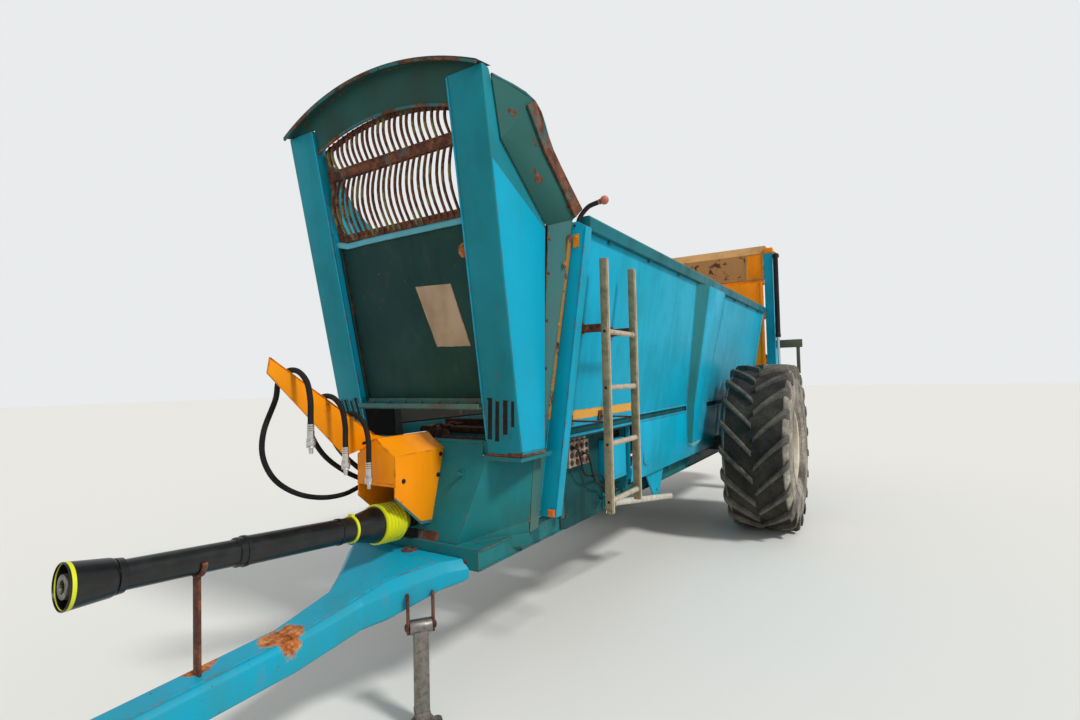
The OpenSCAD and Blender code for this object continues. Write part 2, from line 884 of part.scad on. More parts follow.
module beater(x, dir) {
    color("#c0661c") place() translate([x, beater_y, beater_z0]) difference() {
        union() {
            cylinder(d = beater_tube, h = beater_h);
            cylinder(r = disc_r, h = 12);
            cylinder(d = beater_shaft, h = beater_h + 60);
            translate([0, 0, 60]) linear_extrude(beater_h - 120, twist = dir * 900, slices = flight_steps)
                translate([0, -8]) square([flight_r, 16]);
        }
        translate([0, 0, -1]) cylinder(d = beater_shaft + 2 * pin_fit, h = 63);
    }
}

module beater_left() {
    beater(beater_x, 1);
}

module beater_right() {
    beater(-beater_x, -1);
}

module rear_hood() {
    under = beater_z0 + beater_h + beater_gap;
    inner = rear_half - fit;
    color("#f08a10") place() difference() {
        union() {
        along_x(-inner, inner) polygon([
            [post_y0, door_top + 30], [post_y0 + 10, door_top + 30], [post_y0 + 10, hood_z - 134],
            [post_y0 + 130, hood_z - 10], [rear_end, hood_z - 10], [rear_end, hood_z],
            [post_y0 + 125, hood_z], [post_y0, hood_z - 130]
        ]);
        both_sides() along_x(inner - 10, inner) polygon([
            [post_y0, door_top + 30], [rear_end, door_top + 230], [rear_end, hood_z],
            [post_y0 + 125, hood_z], [post_y0, hood_z - 130]
        ]);
        block(-inner, inner, beater_y - 60, beater_y + 60, hood_z - 110, hood_z - 9);
        both_sides() translate([beater_x, beater_y, under]) cylinder(d = 110, h = hood_z - 100 - under);
        }
        both_sides() translate([beater_x, beater_y, under - 1])
            cylinder(d = beater_shaft + 2 * pin_fit, h = 60);
    }
}

barrel_x = rear_half + rear_post_w + barrel_d / 2 + 12;
barrel_z0 = rail_z - 390;
barrel_z1 = barrel_z0 + door_lift + 210;
arm_z0 = crease_z - 220;
arm_h = 50;
door_mid = (door_y0 + door_y1) / 2;

module rear_door() {
    color("#e8830f") place() {
        block(-door_half, door_half, door_y0, door_y1, floor_z + 10, door_top);
        both_sides() block(door_half - 60, door_half, door_y0, door_y1, arm_z0, floor_z + 20);
        both_sides() block(door_half - 60, barrel_x + 30, door_y0, door_y1, arm_z0, arm_z0 + arm_h);
    }
}

module door_rods() {
    color("#c9ccd0") place() both_sides() translate([barrel_x, door_mid, 0]) {
        translate([0, 0, arm_z0 + arm_h]) cylinder(d = rod_d, h = barrel_z0 + 100 - arm_z0 - arm_h);
        translate([0, 0, barrel_z0 + 60]) cylinder(d = barrel_d - 16, h = 40);
    }
}

module door_barrels() {
    color("#26282a") place() both_sides() {
        translate([barrel_x, door_mid, 0]) difference() {
            translate([0, 0, barrel_z0]) cylinder(d = barrel_d, h = barrel_z1 - barrel_z0);
            translate([0, 0, barrel_z0 - 1]) cylinder(d = rod_d + 2 * fit, h = 40);
            translate([0, 0, barrel_z0 + 20]) cylinder(d = barrel_d - 16 + 2 * fit, h = barrel_z1 - barrel_z0 - 40);
        }
        block(rear_half + rear_post_w, barrel_x + 30, post_y0, post_y0 + 60, barrel_z1 - 40, barrel_z1);
        block(barrel_x - 25, barrel_x + 25, door_mid, post_y0 + 1, barrel_z1 - 20, barrel_z1);
    }
}

lamp_z = rail_z - 420;
board_h = 100;
board_len = 300;

module rear_lamps() {
    outer = rear_half + rear_post_w;
    color("#8a5a3c") place() both_sides() {
        block(outer + 0.5, outer + board_len, post_y1 - 30, post_y1, lamp_z - board_h, lamp_z);
        block(outer + 230, outer + 270, post_y1 - 30, post_y1, lamp_z - 430, lamp_z - board_h);
        block(outer + 120, outer + 290, post_y1, post_y1 + 45, lamp_z - board_h + 10, lamp_z - 10);
    }
}

// Guard, shaft and hose carrier at the front
guard_t = 6;
guard_y = -355;
eaves_z = apron_top - 50;
ridge_up = 78;

// Upper face of the guard's roof at x
function roof_z(x) = eaves_z + guard_t + ridge_up * (guard_half - abs(x)) / guard_half;

module pto_guard() {
    low = shaft_in_z - 16;
    color("#f08a10") place() {
        both_sides() along_x(guard_half - guard_t, guard_half) polygon([
            [guard_y, shaft_in_z + 140], [guard_y, eaves_z + 1], [apron_y(eaves_z) - fit, eaves_z + 1],
            [apron_y(low) - fit, low], [-190, low + 8]
        ]);
        along_y(guard_y, apron_y(eaves_z) - fit) polygon([
            [-guard_half, eaves_z], [0, eaves_z + ridge_up], [guard_half, eaves_z],
            [guard_half, eaves_z + guard_t], [0, eaves_z + ridge_up + guard_t], [-guard_half, eaves_z + guard_t]
        ]);
        along_y(guard_y, guard_y + guard_t) polygon([
            [-guard_half, eaves_z - 140], [guard_half, eaves_z - 140], [guard_half, eaves_z],
            [0, eaves_z + ridge_up + 2], [-guard_half, eaves_z]
        ]);
    }
}

gear_half = 110;
gear_y0 = -70;
gear_y1 = 215;
stub_y = -158;
pto_start = -192;

module pto_gearbox() {
    color("#3a3a3a") place() {
        block(-gear_half, gear_half, gear_y0, gear_y1, sill_top - 2, shaft_in_z + 100);
        translate([0, gear_y0 + 1, shaft_in_z]) rotate([90, 0, 0]) cylinder(d = 100, h = gear_y0 + 1 - stub_y);
        translate([0, stub_y + 1, shaft_in_z]) rotate([90, 0, 0])
            cylinder(d = yoke_bore, h = stub_y + 1 - pto_start - yoke_bore / 2 * tan(pto_rise) - fit);
        block(-sill_half + 5, sill_half - 5, gear_y1 - 75, gear_y1 - 20, sill_top, sill_top + 40);
    }
}

cone_len = 128;
rib_rings = 6;
collar_len = 125;
far_cone = 130;

module pto_shaft() {
    split = pto_len * 0.62;
    far = pto_len - far_cone;
    ring = cone_len / rib_rings;
    color("#1d1d1d") place() translate([0, pto_start, shaft_in_z]) rotate([90 - pto_rise, 0, 0]) {
        cylinder(d1 = 118, d2 = cone_d - 6, h = 50);
        for (i = [0 : rib_rings - 1]) translate([0, 0, 49 + i * ring]) {
            cylinder(d = cone_d - 6, h = ring + 1);
            cylinder(d = cone_d, h = ring / 2);
        }
        translate([0, 0, 49 + cone_len]) cylinder(d1 = cone_d - 18, d2 = tube_d + 6, h = collar_len);
        translate([0, 0, 48 + cone_len + collar_len]) cylinder(d = tube_d, h = split - 48 - cone_len - collar_len);
        translate([0, 0, split - 1]) cylinder(d = tube_d - 13, h = far - split + 2);
        difference() {
            translate([0, 0, far]) cylinder(d1 = tube_d + 6, d2 = tube_d + 34, h = far_cone);
            translate([0, 0, pto_len - 80]) cylinder(d = yoke_bore, h = 100);
        }
    }
}

// Stand that holds the free end of the shaft above the drawbar
rest_y = pto_start - pto_len * 0.72;

module pto_rest() {
    tube_r = (tube_d - 13) / 2;
    cradle = shaft_in_z + (pto_start - rest_y) * tan(pto_rise);
    color("#7d5137") place() {
        block(-20, 20, rest_y, rest_y + 10, bar_top(rest_y + 10) + 1, cradle - tube_r - 8);
        along_y(rest_y, rest_y + 10) difference() {
            translate([0, cradle]) circle(r = tube_r + 16);
            translate([0, cradle]) circle(r = tube_r + 1.2);
            translate([-100, cradle]) square([200, 100]);
        }
    }
}

arm_x = -100;
arm_slope = 0.687;
arm_y = -271;
arm_z = eaves_z + 87;

// Upper edge of the hose arm at y
function arm_top(y) = arm_z + (arm_y - y) * arm_slope;

module hose_arm() {
    foot = roof_z(arm_x + 4) + fit;
    color("#f08a10") place() along_x(arm_x - 4, arm_x + 4) difference() {
        polygon([
            [-200, foot], [-200, arm_z - 17], [arm_y, arm_z], [-818, arm_top(-818)], [-830, arm_top(-830) - 75],
            [-451, foot - 20], [guard_y - 2, foot]
        ]);
        translate([-546, arm_top(-546) - 40]) circle(d = 28);
    }
}

// Hydraulic hoses from the apron over the arm, with their hanging couplers
plug_z = shaft_in_z + 120;
plug_len = 30;
hose_sides = 10;
hose_ref = [1, 1, -0.6];

// Face of the fitting at x on the apron, where a hose begins
function plug_face(x) = [x, apron_y(plug_z) - (plug_len + 1) * cos(15.4), plug_z + (plug_len + 1) * sin(15.4)];

arch_turn = 128;

// Half circle over the arm at y, from its far side to its near side
function over_arm(y) = [for (a = [0 : 36 : 180])
    [arm_x - arch_turn * cos(a), y - a * 0.04, arm_top(y) + 19 - arch_turn * (1 - sin(a))]];

path_a = concat([plug_face(-170), [-175, -190, 1012], [-196, -275, 1082], [-220, -362, 1170]],
    over_arm(-412), [[arm_x + arch_turn + 2, -420, 1190], [arm_x + arch_turn + 2, -420, 1140]]);
path_b = concat([plug_face(-215), [-220, -200, 1008], [-232, -330, 1075], [-238, -452, 1170], [-232, -528, 1275]],
    over_arm(-540), [[arm_x + arch_turn + 2, -548, 1275], [arm_x + arch_turn + 2, -548, 1225]]);
path_c = concat([plug_face(-260), [-263, -200, 990], [-266, -320, 965], [-268, -450, 972], [-270, -580, 1015],
    [-268, -690, 1095], [-256, -754, 1205], [-240, -760, 1320]],
    over_arm(-712), [[arm_x + arch_turn + 2, -720, 1395], [arm_x + arch_turn + 2, -720, 1340]]);

function unit(v) = v / norm(v);
function ring_side(t) = unit(cross(t, hose_ref));
function ring_at(p, t, r) = [for (k = [0 : hose_sides - 1])
    p + r * (cos(360 * k / hose_sides) * ring_side(t) + sin(360 * k / hose_sides) * cross(t, ring_side(t)))];
function curve(p, i, f) = let (
        n = len(p) - 1,
        a = p[max(i - 1, 0)], b = p[i], c = p[i + 1], d = p[min(i + 2, n)]
    ) 0.5 * (2 * b + (c - a) * f + (2 * a - 5 * b + 4 * c - d) * pow(f, 2) + (3 * b - 3 * c + d - a) * pow(f, 3));
function smooth(p) = concat([for (i = [0 : len(p) - 2], f = [0, 0.5]) curve(p, i, f)], [p[len(p) - 1]]);
function heading(p, i, first) =
    i == 0 ? first : i == len(p) - 1 ? [0, 0, -1] : unit(p[i + 1] - p[i - 1]);

// Tube of diameter d along a path that leaves along first and ends straight down
module tube(path, d, first) {
    p = smooth(path);
    n = len(p);
    rings = [for (i = [0 : n - 1]) each ring_at(p[i], heading(p, i, first), d / 2)];
    m = hose_sides;
    walls = [for (i = [0 : n - 2], k = [0 : m - 1]) each [
        [i * m + k, i * m + (k + 1) % m, (i + 1) * m + k],
        [i * m + (k + 1) % m, (i + 1) * m + (k + 1) % m, (i + 1) * m + k]
    ]];
    caps = [[for (k = [m - 1 : -1 : 0]) k], [for (k = [0 : m - 1]) (n - 1) * m + k]];
    polyhedron(rings, concat(walls, caps));
}

hose_first = [0, -cos(15.4), sin(15.4)];

module hose_a() {
    color("#262626") place() tube(path_a, hose_d, hose_first);
}

module hose_b() {
    color("#262626") place() tube(path_b, hose_d, hose_first);
}

module hose_c() {
    color("#262626") place() tube(path_c, hose_d, hose_first);
}

module hose_couplers() {
    color("#9a9da0") place() {
        for (x = [-170, -215, -260]) translate([x, apron_y(plug_z), plug_z]) rotate([90 - 15.4, 0, 0])
            translate([0, 0, fit]) cylinder(d = hose_d + 14, h = plug_len + 1 - fit);
        for (end = [path_a[len(path_a) - 1], path_b[len(path_b) - 1], path_c[len(path_c) - 1]])
            translate(end) rotate([180, 0, 0]) {
                cylinder(d = hose_d + 8, h = 45);
                translate([0, 0, 44]) cylinder(d = hose_d + 14, h = 36);
                translate([0, 0, 79]) cylinder(d = hose_d - 2, h = 30);
            }
    }
}

// Ladder
ladder_y0 = wall_y0 + ladder_gap;
ladder_z0 = skirt_z + 30;

module ladder() {
    top = ladder_z0 + 60 + rung_step * (rung_count + 0.3);
    color("#a89a80") place() {
        for (y = [ladder_y0, ladder_y0 + ladder_w - 25])
            block(ladder_x - 20, ladder_x + 20, y, y + 25, ladder_z0, top);
        for (i = [0 : rung_count - 1])
            translate([ladder_x, ladder_y0, ladder_z0 + 60 + i * rung_step]) rotate([-90, 0, 0])
                cylinder(d = 28, h = ladder_w);
        for (y = [ladder_y0, ladder_y0 + ladder_w - 25]) {
            for (z = [crease_z + 30, ladder_z0 + 20 + rung_step * (rung_count - 1) + 60])
                along_y(y, y + 25) polygon([
                    [wall_x(z) + fit, z], [ladder_x, z], [ladder_x, z + 40], [wall_x(z + 40) + fit, z + 40]
                ]);
        }
    }
}

// Valves, their box and the low pipe in the front bay
plate_y0 = wall_y0 + bay_len * 0.22;
plate_y1 = wall_y0 + bay_len - 60;

module valve_block() {
    x = sill_half;
    pipe_y0 = plate_y1 - 234;
    pipe_y1 = hanger_y + 495;
    pipe_z0 = skirt_z - 79;
    pipe_z1 = skirt_z - 246;
    color("#6a6f73") place() {
        block(x, x + 12, plate_y0, plate_y1, sill_z, floor_low - 10);
        block(x + 11, x + 70, plate_y0 + 20, plate_y0 + 270, floor_low - 190, floor_low - 14);
        block(x + 11, x + 110, plate_y1 - 250, plate_y1 - 20, floor_low - 340, floor_low - 80);
        block(x + 11, pipe_x, pipe_y0 + 20, pipe_y0 + 60, pipe_z0 - 16, pipe_z0 + 4);
        round_bar([pipe_x, pipe_y0, pipe_z0], [pipe_x, pipe_y1, pipe_z1], pipe_d);
    }
}

sills();
cross_frames();
front_apron();
drawbar();
towing_ring();
jack_bracket();
tub_floor();
left_wall();
right_wall();
front_posts();
left_column();
right_column();
front_wall();
crossbar();
front_grille();
front_hood();
left_wing();
right_wing();
floor_chain();
chain_shafts();
axle();
rear_frame();
rear_hood();
beater_gearboxes();
door_barrels();
rear_lamps();
pto_guard();
pto_gearbox();
pto_shaft();
pto_rest();
hose_arm();
hose_a();
hose_b();
hose_c();
hose_couplers();
ladder();
valve_block();
jack_leg();
rear_door();
door_rods();
tyre_left();
tyre_right();
rim_left();
rim_right();
beater_left();
beater_right();
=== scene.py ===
from math import cos, pi, radians, sin, sqrt, tan, tau

import bmesh
import bpy
from bpy.props import FloatProperty, FloatVectorProperty, IntProperty, PointerProperty
from mathutils import Color, Matrix, Vector


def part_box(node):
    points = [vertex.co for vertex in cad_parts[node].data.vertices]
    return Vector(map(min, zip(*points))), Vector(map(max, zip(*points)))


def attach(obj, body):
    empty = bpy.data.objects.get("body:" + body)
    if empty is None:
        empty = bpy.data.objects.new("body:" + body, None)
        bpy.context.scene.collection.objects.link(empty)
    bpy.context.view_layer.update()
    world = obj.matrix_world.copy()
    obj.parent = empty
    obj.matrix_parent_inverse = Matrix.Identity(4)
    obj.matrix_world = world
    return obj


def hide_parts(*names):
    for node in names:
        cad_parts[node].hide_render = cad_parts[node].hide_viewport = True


bl_info = {
    "name": "Manure spreader",
    "version": (1, 0, 0),
    "blender": (4, 5, 0),
    "location": "View3D > Sidebar > Spreader",
    "description": "Builds a towed manure spreader on its frame",
    "category": "Add Mesh",
}

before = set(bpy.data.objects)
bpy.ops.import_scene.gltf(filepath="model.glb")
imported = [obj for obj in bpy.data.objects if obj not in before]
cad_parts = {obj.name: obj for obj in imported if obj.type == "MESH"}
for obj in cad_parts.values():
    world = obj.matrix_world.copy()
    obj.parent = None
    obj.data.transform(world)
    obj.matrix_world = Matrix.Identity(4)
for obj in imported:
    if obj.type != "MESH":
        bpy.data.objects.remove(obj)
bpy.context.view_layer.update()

# Pieces are drawn in millimetres, with y measured back from the front wall's foot.
# That foot lies this far ahead of the side walls' front end.
FRONT_GAP = 350
FOOT_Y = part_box("left_wall")[0].y * 1000 - FRONT_GAP
METRES = 0.001

# The machine's main measures, as the frame has them.
TUB_Y0 = 350
TUB_Y1 = 5250
FLOOR_Z = 1230
CREASE_Z = 1260
RAIL_Z = 2350
RAIL_H = 75
RAIL_OUT = 28
SKIRT_Z = 790
FLOOR_HALF = 600
WALL_SLOPE = 0.17431
WALL_T = 40
LEAN = 10.5
LEAN_TAN = tan(radians(LEAN))
APRON_LEAN = 15.4
APRON_TAN = tan(radians(APRON_LEAN))
APRON_TOP = 1225
COLUMN_Z = 2860
FOOT_Z = 1160
SPLAY_TAN = tan(radians(1.7))
COLUMN_W = 200
COLUMN_IN = 415
SHAFT_Z = 840.2
AXLE_Y = 3675
WHEEL_R = 802.5
TYRE_W = 587
TRACK = 1050
POST_Y = 5320
BEATER_Y = 5870
REAR_END = 6295
HOOD_Z = 3170
DOOR_TOP = 2680


def wall_x(z):
    """Half width over the wall's outer face at height z, above the crease or in the skirt."""
    if z >= CREASE_Z:
        return FLOOR_HALF + (z - CREASE_Z) * WALL_SLOPE
    return FLOOR_HALF - 50 * (CREASE_Z - z) / (CREASE_Z - SKIRT_Z)


def lean_y(z):
    """Front face of the leaning front wall at height z."""
    return -(z - FLOOR_Z) * LEAN_TAN


def apron_y(z):
    """Front face of the leaning apron at height z."""
    return -5 - (APRON_TOP - z) * APRON_TAN


def column_in(z):
    """Inner half width between the columns at height z."""
    return COLUMN_IN + (z - FOOT_Z) * SPLAY_TAN


def framed(point):
    """A point of the pieces' millimetres in the frame's metres."""
    return Vector((point[0], point[1] + FOOT_Y, point[2])) * METRES


# Mesh helpers

def block(bm, x0, x1, y0, y1, z0, z1):
    """Box between two corners."""
    middle = Matrix.Translation(((x0 + x1) / 2, (y0 + y1) / 2, (z0 + z1) / 2))
    size = Matrix.Diagonal((abs(x1 - x0), abs(y1 - y0), abs(z1 - z0), 1))
    bmesh.ops.create_cube(bm, size=1, matrix=middle @ size)


def rod(bm, start, end, radius, sides, end_radius=None):
    """Closed cylinder or cone between two points."""
    start, end = Vector(start), Vector(end)
    turn = Vector((0, 0, 1)).rotation_difference(end - start).to_matrix().to_4x4()
    bmesh.ops.create_cone(
        bm, cap_ends=True, segments=sides, radius1=radius, radius2=radius if end_radius is None else end_radius,
        depth=(end - start).length, matrix=Matrix.Translation((start + end) / 2) @ turn)


def slab(bm, outline, push):
    """Closed solid from a flat outline of points, pushed along a vector."""
    flat = bm.faces.new([bm.verts.new(p) for p in outline])
    grown = bmesh.ops.extrude_face_region(bm, geom=[flat])["geom"]
    bmesh.ops.translate(bm, vec=push, verts=[v for v in grown if isinstance(v, bmesh.types.BMVert)])


def along_y(bm, outline, y0, y1):
    """Outline of (x, z) points, extruded along the machine."""
    slab(bm, [(x, y0, z) for x, z in outline], (0, y1 - y0, 0))


def along_x(bm, outline, x0, x1):
    """Outline of (y, z) points, extruded across the machine."""
    slab(bm, [(x0, y, z) for y, z in outline], (x1 - x0, 0, 0))


def hull(bm, points):
    """Convex solid round the points."""
    bmesh.ops.convex_hull(bm, input=[bm.verts.new(p) for p in points])


def loft(bm, rings):
    """Closed solid through rings of points: the first ring's face is extruded from ring to ring."""
    verts = [bm.verts.new(p) for p in rings[0]]
    cap = bm.faces.new(verts)
    for i, ring in enumerate(rings[1:]):
        grown = bmesh.ops.extrude_face_region(bm, geom=[cap])["geom"]
        end = next(g for g in grown if isinstance(g, bmesh.types.BMFace))
        for vert, place in zip(end.verts, ring):
            vert.co = place
        if i:
            bmesh.ops.delete(bm, geom=[cap], context="FACES_ONLY")
        verts += end.verts
        cap = end
    return verts


def smooth_path(points, steps):
    """Round curve through the points, with steps places on each stretch."""
    points = [Vector(p) for p in points]
    places = []
    for i in range(len(points) - 1):
        a, b, c, d = points[max(i - 1, 0)], points[i], points[i + 1], points[min(i + 2, len(points) - 1)]
        for k in range(steps):
            f = k / steps
            places.append(0.5 * (2 * b + (c - a) * f + (2 * a - 5 * b + 4 * c - d) * f ** 2
                                 + (3 * b - 3 * c + d - a) * f ** 3))
    return places + [points[-1]]


def pipe(bm, points, radius, sides):
    """Round bar or tube along a line of points; radius may be a list, one for each point."""
    points = [Vector(p) for p in points]
    last = len(points) - 1
    rings = []
    side = (points[1] - points[0]).orthogonal()
    for i, point in enumerate(points):
        way = (points[min(i + 1, last)] - points[max(i - 1, 0)]).normalized()
        side = (side - way * side.dot(way)).normalized()
        up = way.cross(side)
        r = radius[i] if isinstance(radius, list) else radius
        angles = [tau * k / sides for k in range(sides)]
        rings.append([point + (side * cos(a) + up * sin(a)) * r for a in angles])
    return loft(bm, rings)


def turned(bm, outline, origin, axis, steps):
    """Ring turned from a closed outline of (place along the axis, radius) points."""
    across = {"X": ((1, 0, 0), (0, 0, 1)), "Y": ((0, 1, 0), (0, 0, 1)), "Z": ((0, 0, 1), (1, 0, 0))}[axis]
    along, out = Vector(across[0]), Vector(across[1])
    verts = [bm.verts.new(Vector(origin) + along * a + out * r) for a, r in outline]
    edges = [bm.edges.new((verts[i - 1], verts[i])) for i in range(len(verts))]
    bmesh.ops.spin(bm, geom=verts + edges, cent=origin, axis=along, angle=tau, steps=steps, use_merge=True)


def bolt(bm, at, way, size):
    """Hexagon bolt head on its washer, standing on a face at a point along a direction."""
    at, way = Vector(at), Vector(way).normalized()
    rod(bm, at - way * 2, at + way * size * 0.22, size * 1.15, 14)
    rod(bm, at, at + way * size * 0.75, size * 0.95, 6)


def placed(bm, verts, matrix):
    """Moves what was drawn about the origin to its place."""
    bmesh.ops.transform(bm, matrix=matrix, verts=verts)


def leaning(bm, base):
    """Tilts what was drawn upright (y = 0, z from base) about its foot, as the front wall leans."""
    placed(bm, bm.verts, Matrix.Translation((0, lean_y(base), base)) @ Matrix.Rotation(radians(LEAN), 4, "X"))


# The frame's nodes that paired pieces stand for.
WALLS = "left_wall right_wall"
COLUMNS = "left_column right_column"
WINGS = "left_wing right_wing"


def finish(bm, name, coat, body="chassis", stands_for="", round_mm=0, twin=False, segments=2,
           sharp=33):
    """Makes a piece of what bm holds: rounds, mirrors, places and dresses it, and clears bm for the next."""
    bmesh.ops.recalc_face_normals(bm, faces=bm.faces)
    if round_mm:
        limit = radians(sharp)
        edges = [e for e in bm.edges if e.is_manifold and e.calc_face_angle(0) > limit]
        bmesh.ops.bevel(
            bm, geom=edges, offset=round_mm, offset_type="OFFSET", segments=segments, profile=0.5,
            affect="EDGES", clamp_overlap=True, material=-1)
    if twin:
        copy = bmesh.ops.duplicate(bm, geom=bm.verts[:] + bm.edges[:] + bm.faces[:])["geom"]
        bmesh.ops.scale(bm, vec=(-1, 1, 1), verts=[v for v in copy if isinstance(v, bmesh.types.BMVert)])
        bmesh.ops.reverse_faces(bm, faces=[f for f in copy if isinstance(f, bmesh.types.BMFace)])
    bmesh.ops.transform(
        bm, matrix=Matrix.Translation((0, FOOT_Y * METRES, 0)) @ Matrix.Scale(METRES, 4), verts=bm.verts)
    mesh = bpy.data.meshes.new(name)
    bm.to_mesh(mesh)
    bm.clear()
    mesh.polygons.foreach_set("use_smooth", [True] * len(mesh.polygons))
    mesh.set_sharp_from_angle(angle=radians(32))
    mesh.materials.append(bpy.data.materials[coat])
    piece = bpy.data.objects.new(name, mesh)
    bpy.context.scene.collection.objects.link(piece)
    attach(piece, body)
    if stands_for:
        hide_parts(*stands_for.split())
    return piece


# Materials

RUST = [(0.30, "#2f1a12"), (0.45, "#5a3020"), (0.60, "#7f4a2b"), (0.75, "#a4693d")]
PALE_RUST = [(0.36, "#6b3a20"), (0.48, "#a9602f"), (0.62, "#c98f5c")]

# Settings of a node that mixes two colours, and of sums held between 0 and 1.
COLOURS = {"data_type": "RGBA"}
TIMES = {"operation": "MULTIPLY", "use_clamp": True}
PLUS = {"operation": "ADD", "use_clamp": True}
LARGER = {"operation": "MAXIMUM", "use_clamp": True}


def linear(colour):
    """Turns an sRGB hex colour into the linear colour that shaders take; a linear one passes."""
    if not isinstance(colour, str):
        return (*colour[:3], 1)
    parts = [int(colour[i:i + 2], 16) / 255 for i in (1, 3, 5)]
    return (*[p / 12.92 if p <= 0.04045 else ((p + 0.055) / 1.055) ** 2.4 for p in parts], 1)


def add(tree, kind, links=None, stops=(), **settings):
    """Adds a shader node: settings, a ramp's stops, and for each input a value, colour, socket or node."""
    made = tree.nodes.new("ShaderNode" + kind)
    for key, value in settings.items():
        setattr(made, key, value)
    for i, (place, value) in enumerate(stops):
        stop = made.color_ramp.elements[i] if i < 2 else made.color_ramp.elements.new(place)
        stop.position = place
        stop.color = linear(value) if isinstance(value, str) else (value, value, value, 1)
    for key, value in (links or {}).items():
        if isinstance(value, bpy.types.Node):
            value = next(socket for socket in value.outputs if socket.enabled)
        if isinstance(value, bpy.types.NodeSocket):
            tree.links.new(value, made.inputs[key])
        else:
            made.inputs[key].default_value = linear(value) if isinstance(value, (str, Color)) else value
    return made


def mottle(tree, place, grain_mm, detail, rough, stretch=(1, 1, 1), shift=0.0):
    """Blotches about grain_mm across, laid by the piece's own coordinates."""
    spot = add(tree, "Mapping", {"Vector": place, "Scale": stretch, "Location": (shift, shift, shift)})
    return add(tree, "TexNoise", {"Vector": spot, "Scale": 1000 / grain_mm, "Detail": detail,
                                  "Roughness": rough})


def patches(tree, place, grain_mm, detail, rough, start, end, **lie):
    """Mask of such blotches that grows from 0 at one level to 1 at another."""
    return add(tree, "ValToRGB", {0: mottle(tree, place, grain_mm, detail, rough, **lie)},
               [(start, 0.0), (end, 1.0)])


def blank(name):
    """Node tree of a new material, and the piece's own coordinates in it."""
    made = bpy.data.materials.new(name)
    made.use_nodes = True
    made.node_tree.nodes.clear()
    return made.node_tree, add(made.node_tree, "TexCoord").outputs["Object"]


def surface(tree, **sockets):
    """Ends a material with its shader; a socket's name has _ for each space."""
    shader = add(tree, "BsdfPrincipled", {name.replace("_", " "): value for name, value in sockets.items()})
    add(tree, "OutputMaterial", {"Surface": shader})


def worn_edges(tree, place, reach_mm, raggedness_mm):
    """Mask that is 1 on ragged edges, where paint chips first."""
    soft = add(tree, "Bevel", {"Radius": reach_mm * METRES}, samples=4)
    true = add(tree, "NewGeometry").outputs["Normal"]
    same = add(tree, "VectorMath", {0: soft, 1: true}, operation="DOT_PRODUCT")
    edge = add(tree, "ValToRGB", {0: same}, [(0.90, 1.0), (0.985, 0.0)])
    return add(tree, "Math", {0: edge, 1: patches(tree, place, raggedness_mm, 6, 0.65, 0.45, 0.60)}, **TIMES)


def rusting(tree, place):
    """Colour of iron rust: dark scale, brown and orange dust in blotches."""
    return add(tree, "ValToRGB", {0: mottle(tree, place, 45, 8, 0.7, shift=3.1)}, RUST)


def rust_spot(tree, place, middle, reach_mm):
    """Mask of one ragged patch of bare rust, middle as (x, y, z) of the pieces' millimetres."""
    away = add(tree, "VectorMath", {0: place, 1: framed(middle)}, operation="DISTANCE")
    near = add(tree, "MapRange", {"Value": away, "From Min": reach_mm * METRES, "From Max": 0.0})
    both = add(tree, "Math", {0: near, 1: mottle(tree, place, 60, 7, 0.7, shift=7.7)}, **TIMES)
    return add(tree, "ValToRGB", {0: both}, [(0.20, 0.0), (0.26, 1.0)])


